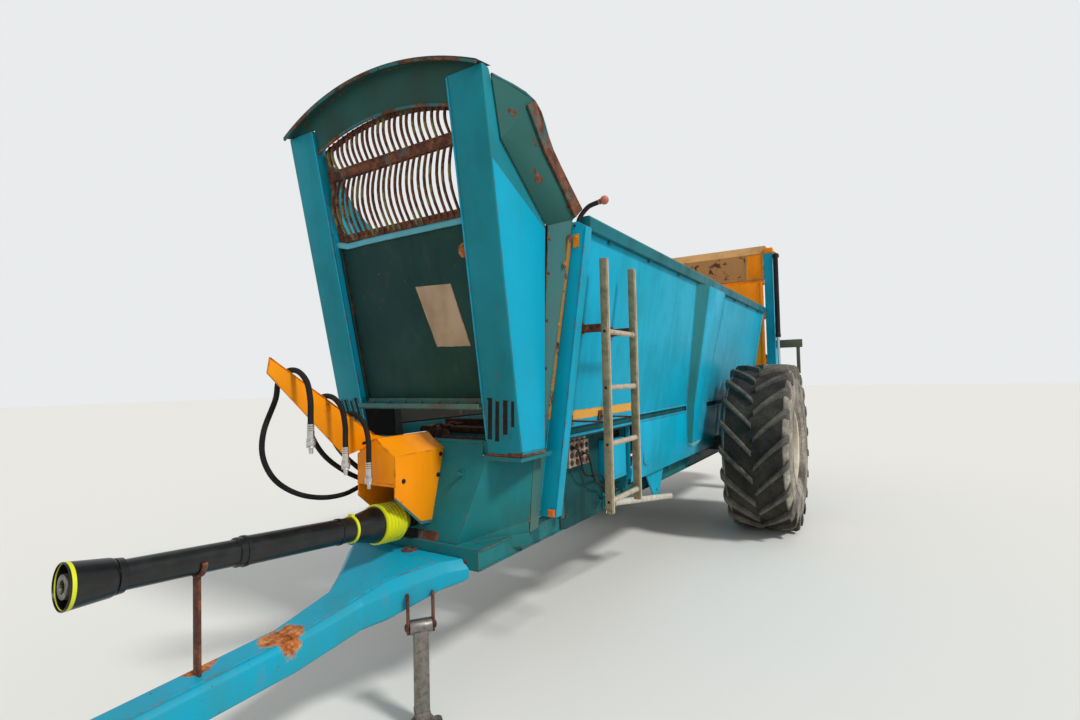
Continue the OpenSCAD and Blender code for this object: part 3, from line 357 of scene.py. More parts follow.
# Alkyd machine enamel, sprayed on sheet steel: a smooth coat that fades in broad patches,
# holds rain-streaked grime, and chips to rust in specks and along its edges.
def enamel(name, coat, faded, grime, rust, dirt, gloss=0.38, spots=()):
    tree, place = blank(name)
    colour = add(tree, "Mix", {0: patches(tree, place, 900, 3, 0.5, 0.38, 0.62), 6: coat, 7: faded},
                 **COLOURS)
    streak = patches(tree, place, 160, 5, 0.6, 0.48, 0.78, stretch=(1, 1, 0.07), shift=1.7)
    patch = patches(tree, place, 420, 5, 0.6, 0.46, 0.72, shift=5.3)
    soil = add(tree, "Math", {0: add(tree, "Math", {0: streak, 1: patch}, **PLUS), 1: dirt}, **TIMES)
    colour = add(tree, "Mix", {0: soil, 6: colour, 7: grime}, **COLOURS)
    zones = patches(tree, place, 380, 3, 0.5, 0.50, 0.62, shift=2.4)
    halo = patches(tree, place, 60, 5, 0.6, 0.60, 0.80, stretch=(1, 1, 0.25), shift=6.6)
    stain = add(tree, "Math", {0: add(tree, "Math", {0: halo, 1: zones}, **TIMES), 1: rust * 0.8}, **TIMES)
    colour = add(tree, "Mix", {0: stain, 6: colour, 7: "#7c5836"}, **COLOURS)
    specks = add(tree, "Math", {0: patches(tree, place, 26, 4, 0.6, 0.665, 0.70, shift=8.2), 1: zones},
                 **TIMES)
    bare = add(tree, "Math", {0: specks, 1: rust * 2}, **TIMES)
    bare = add(tree, "Math", {0: bare, 1: worn_edges(tree, place, 9, 70)}, **LARGER)
    colour = add(tree, "Mix", {0: bare, 6: colour, 7: rusting(tree, place)}, **COLOURS)
    for middle, reach in spots:
        spot = rust_spot(tree, place, middle, reach)
        pale = add(tree, "ValToRGB", {0: mottle(tree, place, 34, 7, 0.7)}, PALE_RUST)
        colour = add(tree, "Mix", {0: spot, 6: colour, 7: pale}, **COLOURS)
        bare = add(tree, "Math", {0: bare, 1: spot}, **LARGER)
    rougher = add(tree, "Math", {0: add(tree, "Math", {0: soil, 1: bare}, **LARGER), 1: 0.45}, **TIMES)
    dents = mottle(tree, place, 240, 2, 0.4, shift=4.4)
    low = add(tree, "Bump", {"Height": dents, "Strength": 0.35, "Distance": 0.012})
    lift = add(tree, "Math", {0: add(tree, "Math", {0: bare, 1: 0.9}, **TIMES), 1: 0.08}, **PLUS)
    scab = add(tree, "Math", {0: mottle(tree, place, 7, 6, 0.7), 1: lift}, **TIMES)
    high = add(tree, "Bump", {"Height": scab, "Normal": low, "Strength": 0.5, "Distance": 0.002})
    surface(tree, Base_Color=colour, Roughness=add(tree, "Math", {0: rougher, 1: gloss}, **PLUS), IOR=1.5,
            Specular_IOR_Level=0.16, Normal=high)


# Bare sheet steel left to rust: flaking brown scale with darker pits, and what is left of a paint.
def rusted(name, paint="#39696a", left=0.2, dark=0.0):
    tree, place = blank(name)
    pits = add(tree, "ValToRGB", {0: mottle(tree, place, 9, 6, 0.7, shift=2.2)}, [(0.35, 1.0), (0.55, 0.0)])
    deep = add(tree, "Math", {0: pits, 1: 0.55}, **TIMES)
    colour = add(tree, "Mix", {0: deep, 6: rusting(tree, place), 7: "#23130d"}, **COLOURS)
    scraps = patches(tree, place, 110, 6, 0.65, 0.62 - 0.3 * left, 0.66 - 0.3 * left, shift=9.1)
    kept = add(tree, "Math", {0: scraps, 1: left * 2}, **TIMES)
    colour = add(tree, "Mix", {0: kept, 6: colour, 7: paint}, **COLOURS)
    colour = add(tree, "Mix", {0: dark, 6: colour, 7: "#15100c"}, **COLOURS)
    scale = add(tree, "Bump", {"Height": mottle(tree, place, 6, 8, 0.75), "Strength": 0.6, "Distance": 0.003})
    surface(tree, Base_Color=colour, Roughness=0.88, Normal=scale)


# Carbon-black tyre rubber, moulded: dull, scuffed grey on the ridges and holding dry clay dust; on the
# sidewalls the pale film is partly dust, partly painted sunlight.
def rubber(name, black, dust, dusty):
    tree, place = blank(name)
    cloud = patches(tree, place, 210, 6, 0.65, 0.35, 0.70)
    fine = add(tree, "ValToRGB", {0: mottle(tree, place, 14, 5, 0.6, shift=3.3)}, [(0.35, 0.3), (0.65, 1.0)])
    film = add(tree, "Math", {0: add(tree, "Math", {0: cloud, 1: fine}, **TIMES), 1: dusty}, **TIMES)
    grit = add(tree, "Bump", {"Height": mottle(tree, place, 5, 6, 0.7), "Strength": 0.35, "Distance": 0.0015})
    surface(tree, Base_Color=add(tree, "Mix", {0: film, 6: black, 7: dust}, **COLOURS), Roughness=0.82,
            Specular_IOR_Level=0.3, Normal=grit)


# Metal with a worked surface: cast, zinc-plated or chromed, with oil and dust over it.
def metal(name, colour, film, rough, metallic, soiled, grain_mm=30, edge=None):
    tree, place = blank(name)
    cover = add(tree, "Math", {0: patches(tree, place, grain_mm, 6, 0.65, 0.40, 0.66), 1: soiled}, **TIMES)
    shade = add(tree, "Mix", {0: cover, 6: colour, 7: film}, **COLOURS)
    if edge:
        shade = add(tree, "Mix", {0: worn_edges(tree, place, 5, 160), 6: shade, 7: edge}, **COLOURS)
    dull = add(tree, "Math", {0: add(tree, "Math", {0: cover, 1: 0.5}, **TIMES), 1: rough}, **PLUS)
    skin = add(tree, "Bump", {"Height": mottle(tree, place, 8, 5, 0.6), "Strength": 0.25, "Distance": 0.001})
    surface(tree, Base_Color=shade, Metallic=metallic, Roughness=dull, Normal=skin)


# Moulded plastic: even colour, soft gloss, scuffs and a film of dust.
def plastic(name, colour, dust="#8a8474", rough=0.42, *, dusty):
    tree, place = blank(name)
    cover = add(tree, "Math", {0: patches(tree, place, 60, 6, 0.65, 0.42, 0.72), 1: dusty}, **TIMES)
    dull = add(tree, "Math", {0: add(tree, "Math", {0: cover, 1: 0.6}, **TIMES), 1: rough}, **PLUS)
    scuffs = add(tree, "Bump", {"Height": mottle(tree, place, 3, 4, 0.6), "Strength": 0.12,
                                "Distance": 0.0006})
    surface(tree, Base_Color=add(tree, "Mix", {0: cover, 6: colour, 7: dust}, **COLOURS), Roughness=dull,
            IOR=1.5, Normal=scuffs)


def make_materials(colours):
    """Every finish of the machine, by the name that the pieces ask for."""
    enamel("turquoise_enamel", colours.turquoise, "#009ab4", grime="#0a6f78", rust=0.3, dirt=0.34)
    # Bright turquoise; on the columns' side plates it is painted sunlight.
    enamel("bright_enamel", "#00a4c8", "#009cba", grime="#0d7a84", rust=0.2, dirt=0.2)
    enamel("rail_enamel", "#0a6f7c", "#12666c", grime="#24443a", rust=0.8, dirt=0.5)
    enamel("shaded_enamel", "#0b5257", "#0e4a4c", grime="#1b2622", rust=0.5, dirt=0.6, gloss=0.6)
    enamel("pale_enamel", "#5cc6cf", "#8fd2d4", grime="#2c8a90", rust=0.3, dirt=0.2)
    # Darker copy of the turquoise: painted shade over the columns.
    enamel("shaded_column_enamel", "#0a8a9c", "#127e8a", grime="#155f60", rust=0.4, dirt=0.40)
    # Darker, duller turquoise: dull weathered paint that also serves as painted shade on the apron and the
    # pilasters' forward flanks.
    enamel("dull_shade_enamel", "#106f78", "#187074", grime="#22564e", rust=0.55, dirt=0.5)
    enamel("drawbar_enamel", "#048fb0", "#0f98b4", grime="#3c7f7c", rust=0.4, dirt=0.4,
           spots=[((30, -850, 540), 150), ((190, -955, 520), 120), ((-60, -1120, 530), 110),
                  ((245, -640, 560), 60), ((-150, -60, 690), 120)])
    enamel("ledge_enamel", "#2f6f70", "#4c7a72", grime="#5d4a35", rust=1.0, dirt=0.7)
    # Dark coat of the front wall: painted shade, with a rust patch.
    enamel("shaded_inner_enamel", "#123a38", "#1f4238", grime="#17302c", rust=0.6, dirt=0.5, gloss=0.5,
           spots=[((405, -170, 2131), 62)])
    # Dark teal of the hood: painted shade on its inner side, with rust.
    enamel("shaded_hood_enamel", "#1d5552", "#26483f", grime="#2d3a2c", rust=0.8, dirt=0.6)
    enamel("wing_enamel", "#366c70", "#41706c", grime="#4f5f50", rust=0.5, dirt=0.5)
    enamel("orange_enamel", colours.orange, "#ee9208", grime="#9a6412", rust=0.5, dirt=0.25)
    enamel("worn_orange", "#c76f12", "#a86a2c", grime="#4a3524", rust=1.0, dirt=0.6)
    enamel("tan_enamel", "#c0935a", "#ae7f48", grime="#7a5a35", rust=0.8, dirt=0.5)
    enamel("stripe_paint", colours.stripe, "#cf9440", grime="#9a7440", rust=0.4, dirt=0.3)
    enamel("worn_plate", "#c2a98c", "#ae9478", grime="#7a5c44", rust=0.5, dirt=0.5)
    enamel("cream_enamel", colours.rim, "#c2b7a2", grime="#7c6f5a", rust=0.5, dirt=0.6)
    enamel("black_enamel", "#17191b", "#222323", grime="#3f3a32", rust=0.5, dirt=0.4)
    # Pale blue of the crossbar: partly its paint, partly painted sky reflection on its top.
    enamel("crossbar_sheen_enamel", "#5fb0c2", "#549aa4", grime="#4f6f66", rust=0.7, dirt=0.4)
    rusted("rusty_sheet")
    rusted("rusty_wing", paint="#1f5a54", left=0.8)
    rusted("wing_rust", paint="#1f5a54", left=0.35)
    rusted("rusty_panel", paint="#bd8a52", left=0.72)
    rusted("ochre_rust", paint="#a2702c", left=0.6)
    rusted("rim_rust", paint="#1b6a6e", left=0.45)
    rusted("mossy_rust", paint="#8f8a4e", left=0.3, dark=0.1)
    rusted("dark_rust", left=0.0, dark=0.45)
    rusted("weathered_board", paint="#5b5a46", left=0.9)
    # Dark inner coat of the tub: dung stains and painted shade.
    rusted("dung_and_shade_stain", paint="#2e2f26", left=0.85, dark=0.5)
    rubber("tread_rubber", "#1a1a19", "#5f594d", 0.7)
    # Pale sidewalls: dust and painted sunlight together.
    rubber("dusty_sunlit_wall_rubber", "#4c4943", "#c4baa9", 1.0)
    rubber("lug_rubber", "#383835", "#938c7c", 0.9)
    rubber("braided_hose", "#101010", "#453f36", 0.3)
    metal("worn_steel", "#8d8a84", "#5a4a3a", 0.42, 1.0, 0.6)
    metal("dark_steel", "#3a3835", "#2f261f", 0.5, 0.9, 0.6)
    metal("valve_metal", "#b9ad98", "#5a3f2c", 0.5, 0.5, 0.9, 60)
    metal("coupler_zinc", "#d2d1cc", "#7c766a", 0.3, 1.0, 0.35)
    metal("weathered_ladder", "#96876a", "#6f6748", 0.6, 0.3, 0.9, 70, "#d9cdb2")
    metal("rung_zinc", "#c3b6a2", "#96866e", 0.55, 0.35, 0.7, 55)
    metal("pale_zinc", "#d6d0c2", "#9c927e", 0.5, 0.4, 0.6, 55)
    metal("chromed_rod", "#d6d8da", "#b9b9b4", 0.12, 1.0, 0.2)
    plastic("guard_plastic", "#0a0b0c", "#4c4a44", rough=0.28, dusty=0.12)
    plastic("yellow_plastic", colours.cone, dusty=0.12)
    plastic("pale_red_plastic", "#b8604c", dusty=0.35)
    plastic("red_lens", "#8f1410", rough=0.2, dusty=0.2)
    plastic("amber_lens", "#c8660c", rough=0.2, dusty=0.2)
    plastic("orange_reflector", "#e0700c", rough=0.2, dusty=0.1)
    plastic("shadow_gap", "#050606", rough=0.9, dusty=0.05)


# Finish of each carried-over node.
NODE_FINISH = {
    "rear_frame": "turquoise_enamel",
    "sills": "dull_shade_enamel",
    "cross_frames": "dull_shade_enamel",
    "chain_shafts": "dark_rust",
    "axle": "dark_steel",
    "door_rods": "chromed_rod",
}


def dress_nodes():
    """Gives every carried-over node its finish."""
    for name, coat in NODE_FINISH.items():
        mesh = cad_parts[name].data
        mesh.materials.clear()
        mesh.materials.append(bpy.data.materials[coat])


# The camera stands ahead of the near front corner and looks back along the near side.
CAMERA_X = 2050
CAMERA_Y = -2150
CAMERA_Z = 1530
CAMERA_HEADING = 32.02
CAMERA_PITCH = 1.76
CAMERA_ROLL = 1.31
CAMERA_LENS = 18.31


def make_camera():
    data = bpy.data.cameras.new("camera")
    data.lens = CAMERA_LENS
    data.sensor_width = 36
    data.clip_end = 200
    seat = bpy.data.objects.new("camera", data)
    bpy.context.scene.collection.objects.link(seat)
    seat.location = Vector((CAMERA_X, CAMERA_Y + FOOT_Y, CAMERA_Z)) * METRES
    seat.rotation_euler = [radians(a) for a in (90 + CAMERA_PITCH, CAMERA_ROLL, CAMERA_HEADING)]
    bpy.context.scene.camera = seat


def make_stage():
    """Pale floor, pale world and a soft sun from the near side."""
    scene = bpy.context.scene
    scene.view_settings.view_transform = "Standard"
    bm = bmesh.new()
    bmesh.ops.create_circle(bm, cap_ends=True, segments=96, radius=60)
    mesh = bpy.data.meshes.new("floor")
    bm.to_mesh(mesh)
    bm.free()
    floor = bpy.data.objects.new("floor", mesh)
    scene.collection.objects.link(floor)
    surface(blank("floor_paint")[0], Base_Color="#dcdad4", Roughness=0.9)
    mesh.materials.append(bpy.data.materials["floor_paint"])
    world = bpy.data.worlds.new("studio")
    world.use_nodes = True
    tree = world.node_tree
    tree.nodes.clear()
    rays = add(tree, "LightPath").outputs
    seen = add(tree, "Math", {0: rays["Is Camera Ray"], 1: rays["Is Transmission Ray"]}, **LARGER)
    glow = add(tree, "Background", {"Color": "#f4f6f8", "Strength": 0.68})
    backdrop = add(tree, "Background", {"Color": "#e9ebec", "Strength": 1.0})
    add(tree, "OutputWorld", {"Surface": add(tree, "MixShader", {0: seen, 1: glow, 2: backdrop})})
    scene.world = world
    data = bpy.data.lights.new("sun", "SUN")
    data.energy = 2.3
    data.angle = radians(9)
    sun = bpy.data.objects.new("sun", data)
    sun.rotation_euler = [radians(a) for a in (0, 44, -6)]
    scene.collection.objects.link(sun)


# Hoses

HOSE_D = 24
PLUG_Z = SHAFT_Z + 120
ARM_TURN = 128


def plug_face(x):
    """Face of the fitting at x on the apron, where a hose begins."""
    tilt = radians(APRON_LEAN)
    return (x, apron_y(PLUG_Z) - 31 * cos(tilt), PLUG_Z + 31 * sin(tilt))


def over_arm(y):
    """Half turn of a hose over the carrier arm at y."""
    top = 1262 + (-271 - y) * 0.687 + 19
    return [(-100 - ARM_TURN * cos(radians(a)), y - 0.04 * a, top - ARM_TURN * (1 - sin(radians(a))))
            for a in range(0, 181, 36)]


HOSES = {
    "hose_a": [plug_face(-170), (-175, -190, 1012), (-196, -275, 1082), (-220, -362, 1170)]
    + over_arm(-412) + [(30, -420, 1190), (30, -420, 1140)],
    "hose_b": [plug_face(-215), (-220, -200, 1008), (-232, -330, 1075), (-238, -452, 1170),
               (-232, -528, 1275)]
    + over_arm(-540) + [(30, -548, 1275), (30, -548, 1225)],
    "hose_c": [plug_face(-260), (-263, -200, 990), (-266, -320, 965), (-268, -450, 972), (-270, -580, 1015),
               (-268, -690, 1095), (-256, -754, 1205), (-240, -760, 1320)]
    + over_arm(-712) + [(30, -720, 1395), (30, -720, 1340)],
}


def make_hoses(sizes):
    """Three hydraulic hoses from the apron over the carrier arm, each with its ends."""
    tilt = radians(APRON_LEAN)
    out = Vector((0, -cos(tilt), sin(tilt)))
    down = Vector((0, 0, -1))
    r = sizes.hose / METRES / 2
    bm = bmesh.new()
    for name, points in HOSES.items():
        route = smooth_path(points, 2)
        start, end = route[0], route[-1]
        pipe(bm, smooth_path(points, 6), r, 14)
        hose = finish(bm, name + "_rubber", "braided_hose", stands_for=name)

        rod(bm, start - out * 31, start - out * 14, r + 5, 6)
        rod(bm, start - out * 14, start + out * 2, r + 4, 16)
        for k in range(3):
            rod(bm, start + out * (2 + k * 11), start + out * (11 + k * 11), r + 3.5, 16, r + 2.2)
        for k in range(3):
            rod(bm, end + down * (k * 9 - 16), end + down * (k * 9 - 9), r + 3.0, 16, r + 2.0)
        # The coupler: its hexagon, collar, sleeve, lip and plug.
        for a, b, wider, sides, tip in ((11, 44, 3, 6, 3), (44, 52, 6.5, 20, 4), (52, 72, 7, 20, 7),
                                        (72, 80, 4, 20, 6.5), (80, 106, -2.2, 16, -3.5)):
            rod(bm, end + down * a, end + down * b, r + wider, sides, r + tip)
        ends = finish(bm, name + "_ends", "coupler_zinc", stands_for="hose_couplers", round_mm=0.8,
                      segments=1)


# Tub

PILASTER_Y = 2830
BAY_END = 1400
NOTCH = (3595, 3755, 882.5)
# Height, half width on the wall, half width of the face, and how far the face stands out.
PILASTER = [(2272, 486, 270, 50), (CREASE_Z, 302, 194, 40), (920, 194, 151, 35)]


def wedge(bm, levels):
    """Trapezoid standing on the wall, through levels as PILASTER lists them."""
    loft(bm, [[(wall_x(z) - 4, PILASTER_Y - root, z), (wall_x(z) + out, PILASTER_Y - face, z),
               (wall_x(z) + out, PILASTER_Y + face, z), (wall_x(z) - 4, PILASTER_Y + root, z)]
              for z, root, face, out in levels])


def make_tub(sizes):
    """The tub's side walls with rails, creases, skirts, pilasters and hangers, and its floor boards."""
    bm = bmesh.new()
    # Upper sheet, from the crease to the rail, with a rolled lower edge over the dark band.
    along_y(bm, [(wall_x(CREASE_Z) - WALL_T, CREASE_Z), (wall_x(CREASE_Z), CREASE_Z), (wall_x(2275), 2275),
                 (wall_x(2275) - WALL_T, 2275)], TUB_Y0, TUB_Y1)
    along_y(bm, [(FLOOR_HALF + 4, 1252), (FLOOR_HALF + 6, 1266), (FLOOR_HALF - 14, 1270),
                 (FLOOR_HALF - 20, 1252)],
            TUB_Y0, TUB_Y1)
    finish(bm, "tub_sheets", "turquoise_enamel", stands_for=WALLS, round_mm=2.5, twin=True)

    # Inner faces, dark with dung stains and painted shade of the tub's inside.
    along_y(bm, [(wall_x(CREASE_Z + 2) - WALL_T - 3, CREASE_Z + 2),
                 (wall_x(CREASE_Z + 2) - WALL_T + 4, CREASE_Z + 2), (wall_x(2345) - WALL_T + 4, 2345),
                 (wall_x(2345) - WALL_T - 3, 2345)], TUB_Y0 - 0.5, TUB_Y1 + 0.5)
    finish(bm, "tub_linings", "dung_and_shade_stain", round_mm=1, twin=True, segments=1)

    # Recess between the sheet and the skirt, where the floor's edge channel lies in shade.
    along_y(bm, [(FLOOR_HALF - 44, 1186), (FLOOR_HALF - 12, 1186), (FLOOR_HALF - 12, 1254),
                 (FLOOR_HALF - 44, 1254)],
            TUB_Y0 + 6, TUB_Y1 - 6)
    finish(bm, "tub_channels", "shaded_enamel", stands_for=WALLS, round_mm=1.5, twin=True)

    # Skirt with its hem, cut away over the valve bay and the axle.
    spans = [(BAY_END, NOTCH[0], SKIRT_Z), (NOTCH[0], NOTCH[1], NOTCH[2] + 2), (NOTCH[1], TUB_Y1, SKIRT_Z)]
    for y0, y1, low in spans:
        along_y(bm, [(wall_x(z) - inset, z) for z, inset in ((low, 0), (1212, 0), (1212, 7), (low, 7))],
                y0, y1)
    for y0, y1 in ((BAY_END, NOTCH[0]), (NOTCH[1], TUB_Y1)):
        along_y(bm, [(wall_x(SKIRT_Z), SKIRT_Z), (wall_x(SKIRT_Z), SKIRT_Z + 26),
                     (wall_x(SKIRT_Z) - 22, SKIRT_Z + 20), (wall_x(SKIRT_Z) - 22, SKIRT_Z)], y0, y1)
    along_y(bm, [(FLOOR_HALF - 4, 1196), (FLOOR_HALF, 1210), (FLOOR_HALF - 26, 1212),
                 (FLOOR_HALF - 26, 1196)],
            TUB_Y0 + 2, TUB_Y1 - 2)
    for y in (BAY_END, TUB_Y1 - 8, 2120, 4460):
        along_x(bm, [(y, SKIRT_Z + 4), (y + 8, SKIRT_Z + 4), (y + 8, 1200), (y, 1200)], 514, 549)
    finish(bm, "tub_skirts", "turquoise_enamel", stands_for=WALLS, round_mm=2, twin=True)

    # Rail folded out of the sheet's top edge, with a welded lip underneath.
    low, top = RAIL_Z - RAIL_H, RAIL_Z
    along_y(bm, [(wall_x(low) - WALL_T, low), (wall_x(low) + RAIL_OUT, low),
                 (wall_x(low) + RAIL_OUT, low + 10), (wall_x(top) + RAIL_OUT - 4, top - 14),
                 (wall_x(top) + RAIL_OUT - 14, top), (wall_x(top) - WALL_T, top)], TUB_Y0, TUB_Y1)
    for y in range(TUB_Y0 + 300, TUB_Y1 - 100, 610):
        block(bm, wall_x(2262), wall_x(2262) + 14, y - 22, y + 22, 2258, 2277)
    finish(bm, "tub_rails", "rail_enamel", stands_for=WALLS, round_mm=5, twin=True, segments=3)

    # Pilaster, narrower at the crease, with weld beads down both flanks and a swage in its face.
    wedge(bm, PILASTER)
    for side in (-1, 1):
        pipe(bm, [(wall_x(z) + 1, PILASTER_Y + side * root, z) for z, root, face, out in PILASTER], 4.5, 6)
        swage = [(wall_x(z) + out - 1, PILASTER_Y + side * (face - 26), z)
                 for z, root, face, out in PILASTER[:2]]
        pipe(bm, swage, 4, 6)
    for y, wide in ((TUB_Y1 - 46, 46), (TUB_Y0 + 52, 20)):
        z0, z1 = CREASE_Z + 20, 2275
        loft(bm, [[(wall_x(z) - 3, y - wide, z), (wall_x(z) + 9, y - wide + 6, z),
                   (wall_x(z) + 9, y + wide - 6, z), (wall_x(z) - 3, y + wide, z)] for z in (z0, z1)])
    finish(bm, "tub_pilasters", "turquoise_enamel", stands_for=WALLS, round_mm=3, twin=True)

    # Forward flanks of the pilasters, coated darker as painted shade on the side turned from the sun.
    for pair in (PILASTER[:2], PILASTER[1:]):
        hull(bm, [(wall_x(z) + x + skin, PILASTER_Y - y - skin, z) for z, root, face, out in pair
                  for x, y in ((0, root - 8), (out, face)) for skin in (0, 1.5)])
    finish(bm, "pilaster_flank_shade", "dull_shade_enamel", twin=True)

    # Pale triangular point where the pilaster ends on the skirt.
    wedge(bm, [PILASTER[-1], (862, 30, 22, 5)])
    finish(bm, "pilaster_points", "pale_enamel", stands_for=WALLS, round_mm=1.5, twin=True)

    # Hanger plates under the skirt, with their bolts.
    along_x(bm, [(1705, 840), (2125, 840), (2125, 774), (2005, 560), (1935, 560)], 511, 523)
    along_x(bm, [(1745, 826), (1820, 826), (1960, 600), (1935, 566)], 506, 512)
    for y, z, size in ((1970, 640, 14), (2070, 800, 12), (1790, 812, 12)):
        bolt(bm, (523, y, z), (1, 0, 0), size)
    finish(bm, "hangers", "turquoise_enamel", stands_for=WALLS, round_mm=2, twin=True)

    # Painted marking stripe near the front end of the near wall.
    loft(bm, [[(wall_x(z) - 1, 432, z), (wall_x(z) + 1.2, 432, z), (wall_x(z) + 1.2, 1290, z),
               (wall_x(z) - 1, 1290, z)]
              for z in (1291, 1344)])
    finish(bm, "side_stripes", "stripe_paint", twin=True)

    # Hot-rolled floor boards, laid lengthwise with open joints.
    wide = 1092 / sizes.boards
    for k in range(sizes.boards):
        x0 = -546 + k * wide
        block(bm, x0 + 1.5, x0 + wide - 1.5, 508, 5022, 1192, 1229 - (k % 3) * 0.8)
    finish(bm, "floor_boards", "dark_rust", stands_for="tub_floor", round_mm=3)


# Front panel

ARCH_R = 1651.7
ARCH_MID = 1360.3
TOP_HALF = 665.5
HOOD_INNER = 461.6
HOOD_BASE = 2670
HOOD_BAND = 190
GRILLE_Z = 2279.3
GRILLE_HALF = 447.9
GRILLE_MID = 325
WALL_FOOT = 1390
CROSS_Z = 2220


def arch_z(x, less=0):
    """Height of the hood's arch at x, or of a line that lies less under it."""
    return sqrt((ARCH_R - less) ** 2 - x ** 2) + ARCH_MID


def column_face(x, z, proud):
    """A point on the column's front face."""
    return (x, lean_y(z) - 40 - proud, z)


def face_strip(bm, foot, head, width, proud):
    """Narrow plate up the column's front face from foot to head, each (x, z)."""
    half = width / 2
    corners = ((-half, -2), (half, -2), (half, proud), (-half, proud))
    loft(bm, [[column_face(x + dx, z, out) for dx, out in corners] for x, z in (foot, head)])


def make_columns():
    """The leaning front columns of folded sheet, with side plates, slits, flanges and feet."""
    outline = [(lean_y(FOOT_Z) - 40, FOOT_Z), (175, FOOT_Z), (175, 2300), (lean_y(2600) + 80, 2600),
               (lean_y(COLUMN_Z) + 10, COLUMN_Z), (lean_y(COLUMN_Z) - 40, COLUMN_Z)]
    bm = bmesh.new()
    slab(bm, [(column_in(z), y, z) for y, z in outline], (COLUMN_W, 0, 0))
    finish(bm, "column_boxes", "shaded_column_enamel", stands_for=COLUMNS, round_mm=7, twin=True, segments=3)

    # Painted light: bright side plates under the diagonal seam, on the column's outer side and above the
    # opening on its inner side, a sunlit copy of the column's shaded coat.
    plate = [(lean_y(1180) - 36, 1180), (170, 1180), (170, 2262), (lean_y(2480) - 36, 2480)]
    slab(bm, [(column_in(z) + COLUMN_W - 2, y, z) for y, z in plate], (4, 0, 0))
    plate = [(lean_y(1440) - 34, 1440), (140, 1440), (120, 2300), (lean_y(2480) - 34, 2480)]
    slab(bm, [(column_in(z) - 2, y, z) for y, z in plate], (4, 0, 0))
    finish(bm, "column_lit_plates", "bright_enamel", stands_for=COLUMNS, round_mm=2, twin=True)

    # Folded lip down the inner front edge.
    face_strip(bm, (column_in(1230) + 5, 1230), (column_in(2850) + 5, 2850), 10, 4)
    finish(bm, "column_lips", "turquoise_enamel", stands_for=COLUMNS, round_mm=2, twin=True)

    # Painted shade: dark sheets in the opening under the ledge, over the column's inner face and the post's
    # inner face, where the inside lies in shade.
    lining = [(lean_y(1168) - 30, 1168), (165, 1168), (165, 1396), (lean_y(1396) - 30, 1396)]
    slab(bm, [(column_in(z) - 3, y, z) for y, z in lining], (4, 0, 0))
    slab(bm, [(post_x(z) - 113, y, z) for y, z in ((287, 1168), (353, 1168), (353, 1420), (287, 1420))],
         (3.5, 0, 0))
    finish(bm, "opening_shade_sheets", "shadow_gap", twin=True)

    # Slits pressed into the foot of the column's face, drawn as flat strips of painted shade.
    slits = ((30, 1236, 1436), (24, 1228, 1420), (31, 1262, 1425), (16, 1300, 1420))
    for k, (width, low, high) in enumerate(slits):
        foot = (438 + 45 * k + (low - 1236) * 0.17, low)
        head = (471 + 44 * k + (high - 1431) * 0.17, high)
        face_strip(bm, foot, head, width, 0.8)
    finish(bm, "column_slits", "shadow_gap", twin=True)

    for k in range(4):
        foot, head = (426 + 45 * k, 1240), (459 + 44 * k, 1428)
        face_strip(bm, foot, head, 6, 4)
    finish(bm, "slit_lips", "shaded_column_enamel", round_mm=1.5, twin=True)

    # Rusted foot plate with its bolts and gussets.
    low = FOOT_Z
    block(bm, column_in(low) - 3, column_in(low) + 204, lean_y(low) - 44, 178, low - 4, low + 8)
    block(bm, column_in(low) + 120, column_in(low) + 203, lean_y(low) - 43, lean_y(low) - 38,
          low + 7, low + 22)
    finish(bm, "column_feet", "rusty_sheet", stands_for=COLUMNS, round_mm=2, twin=True, segments=1)


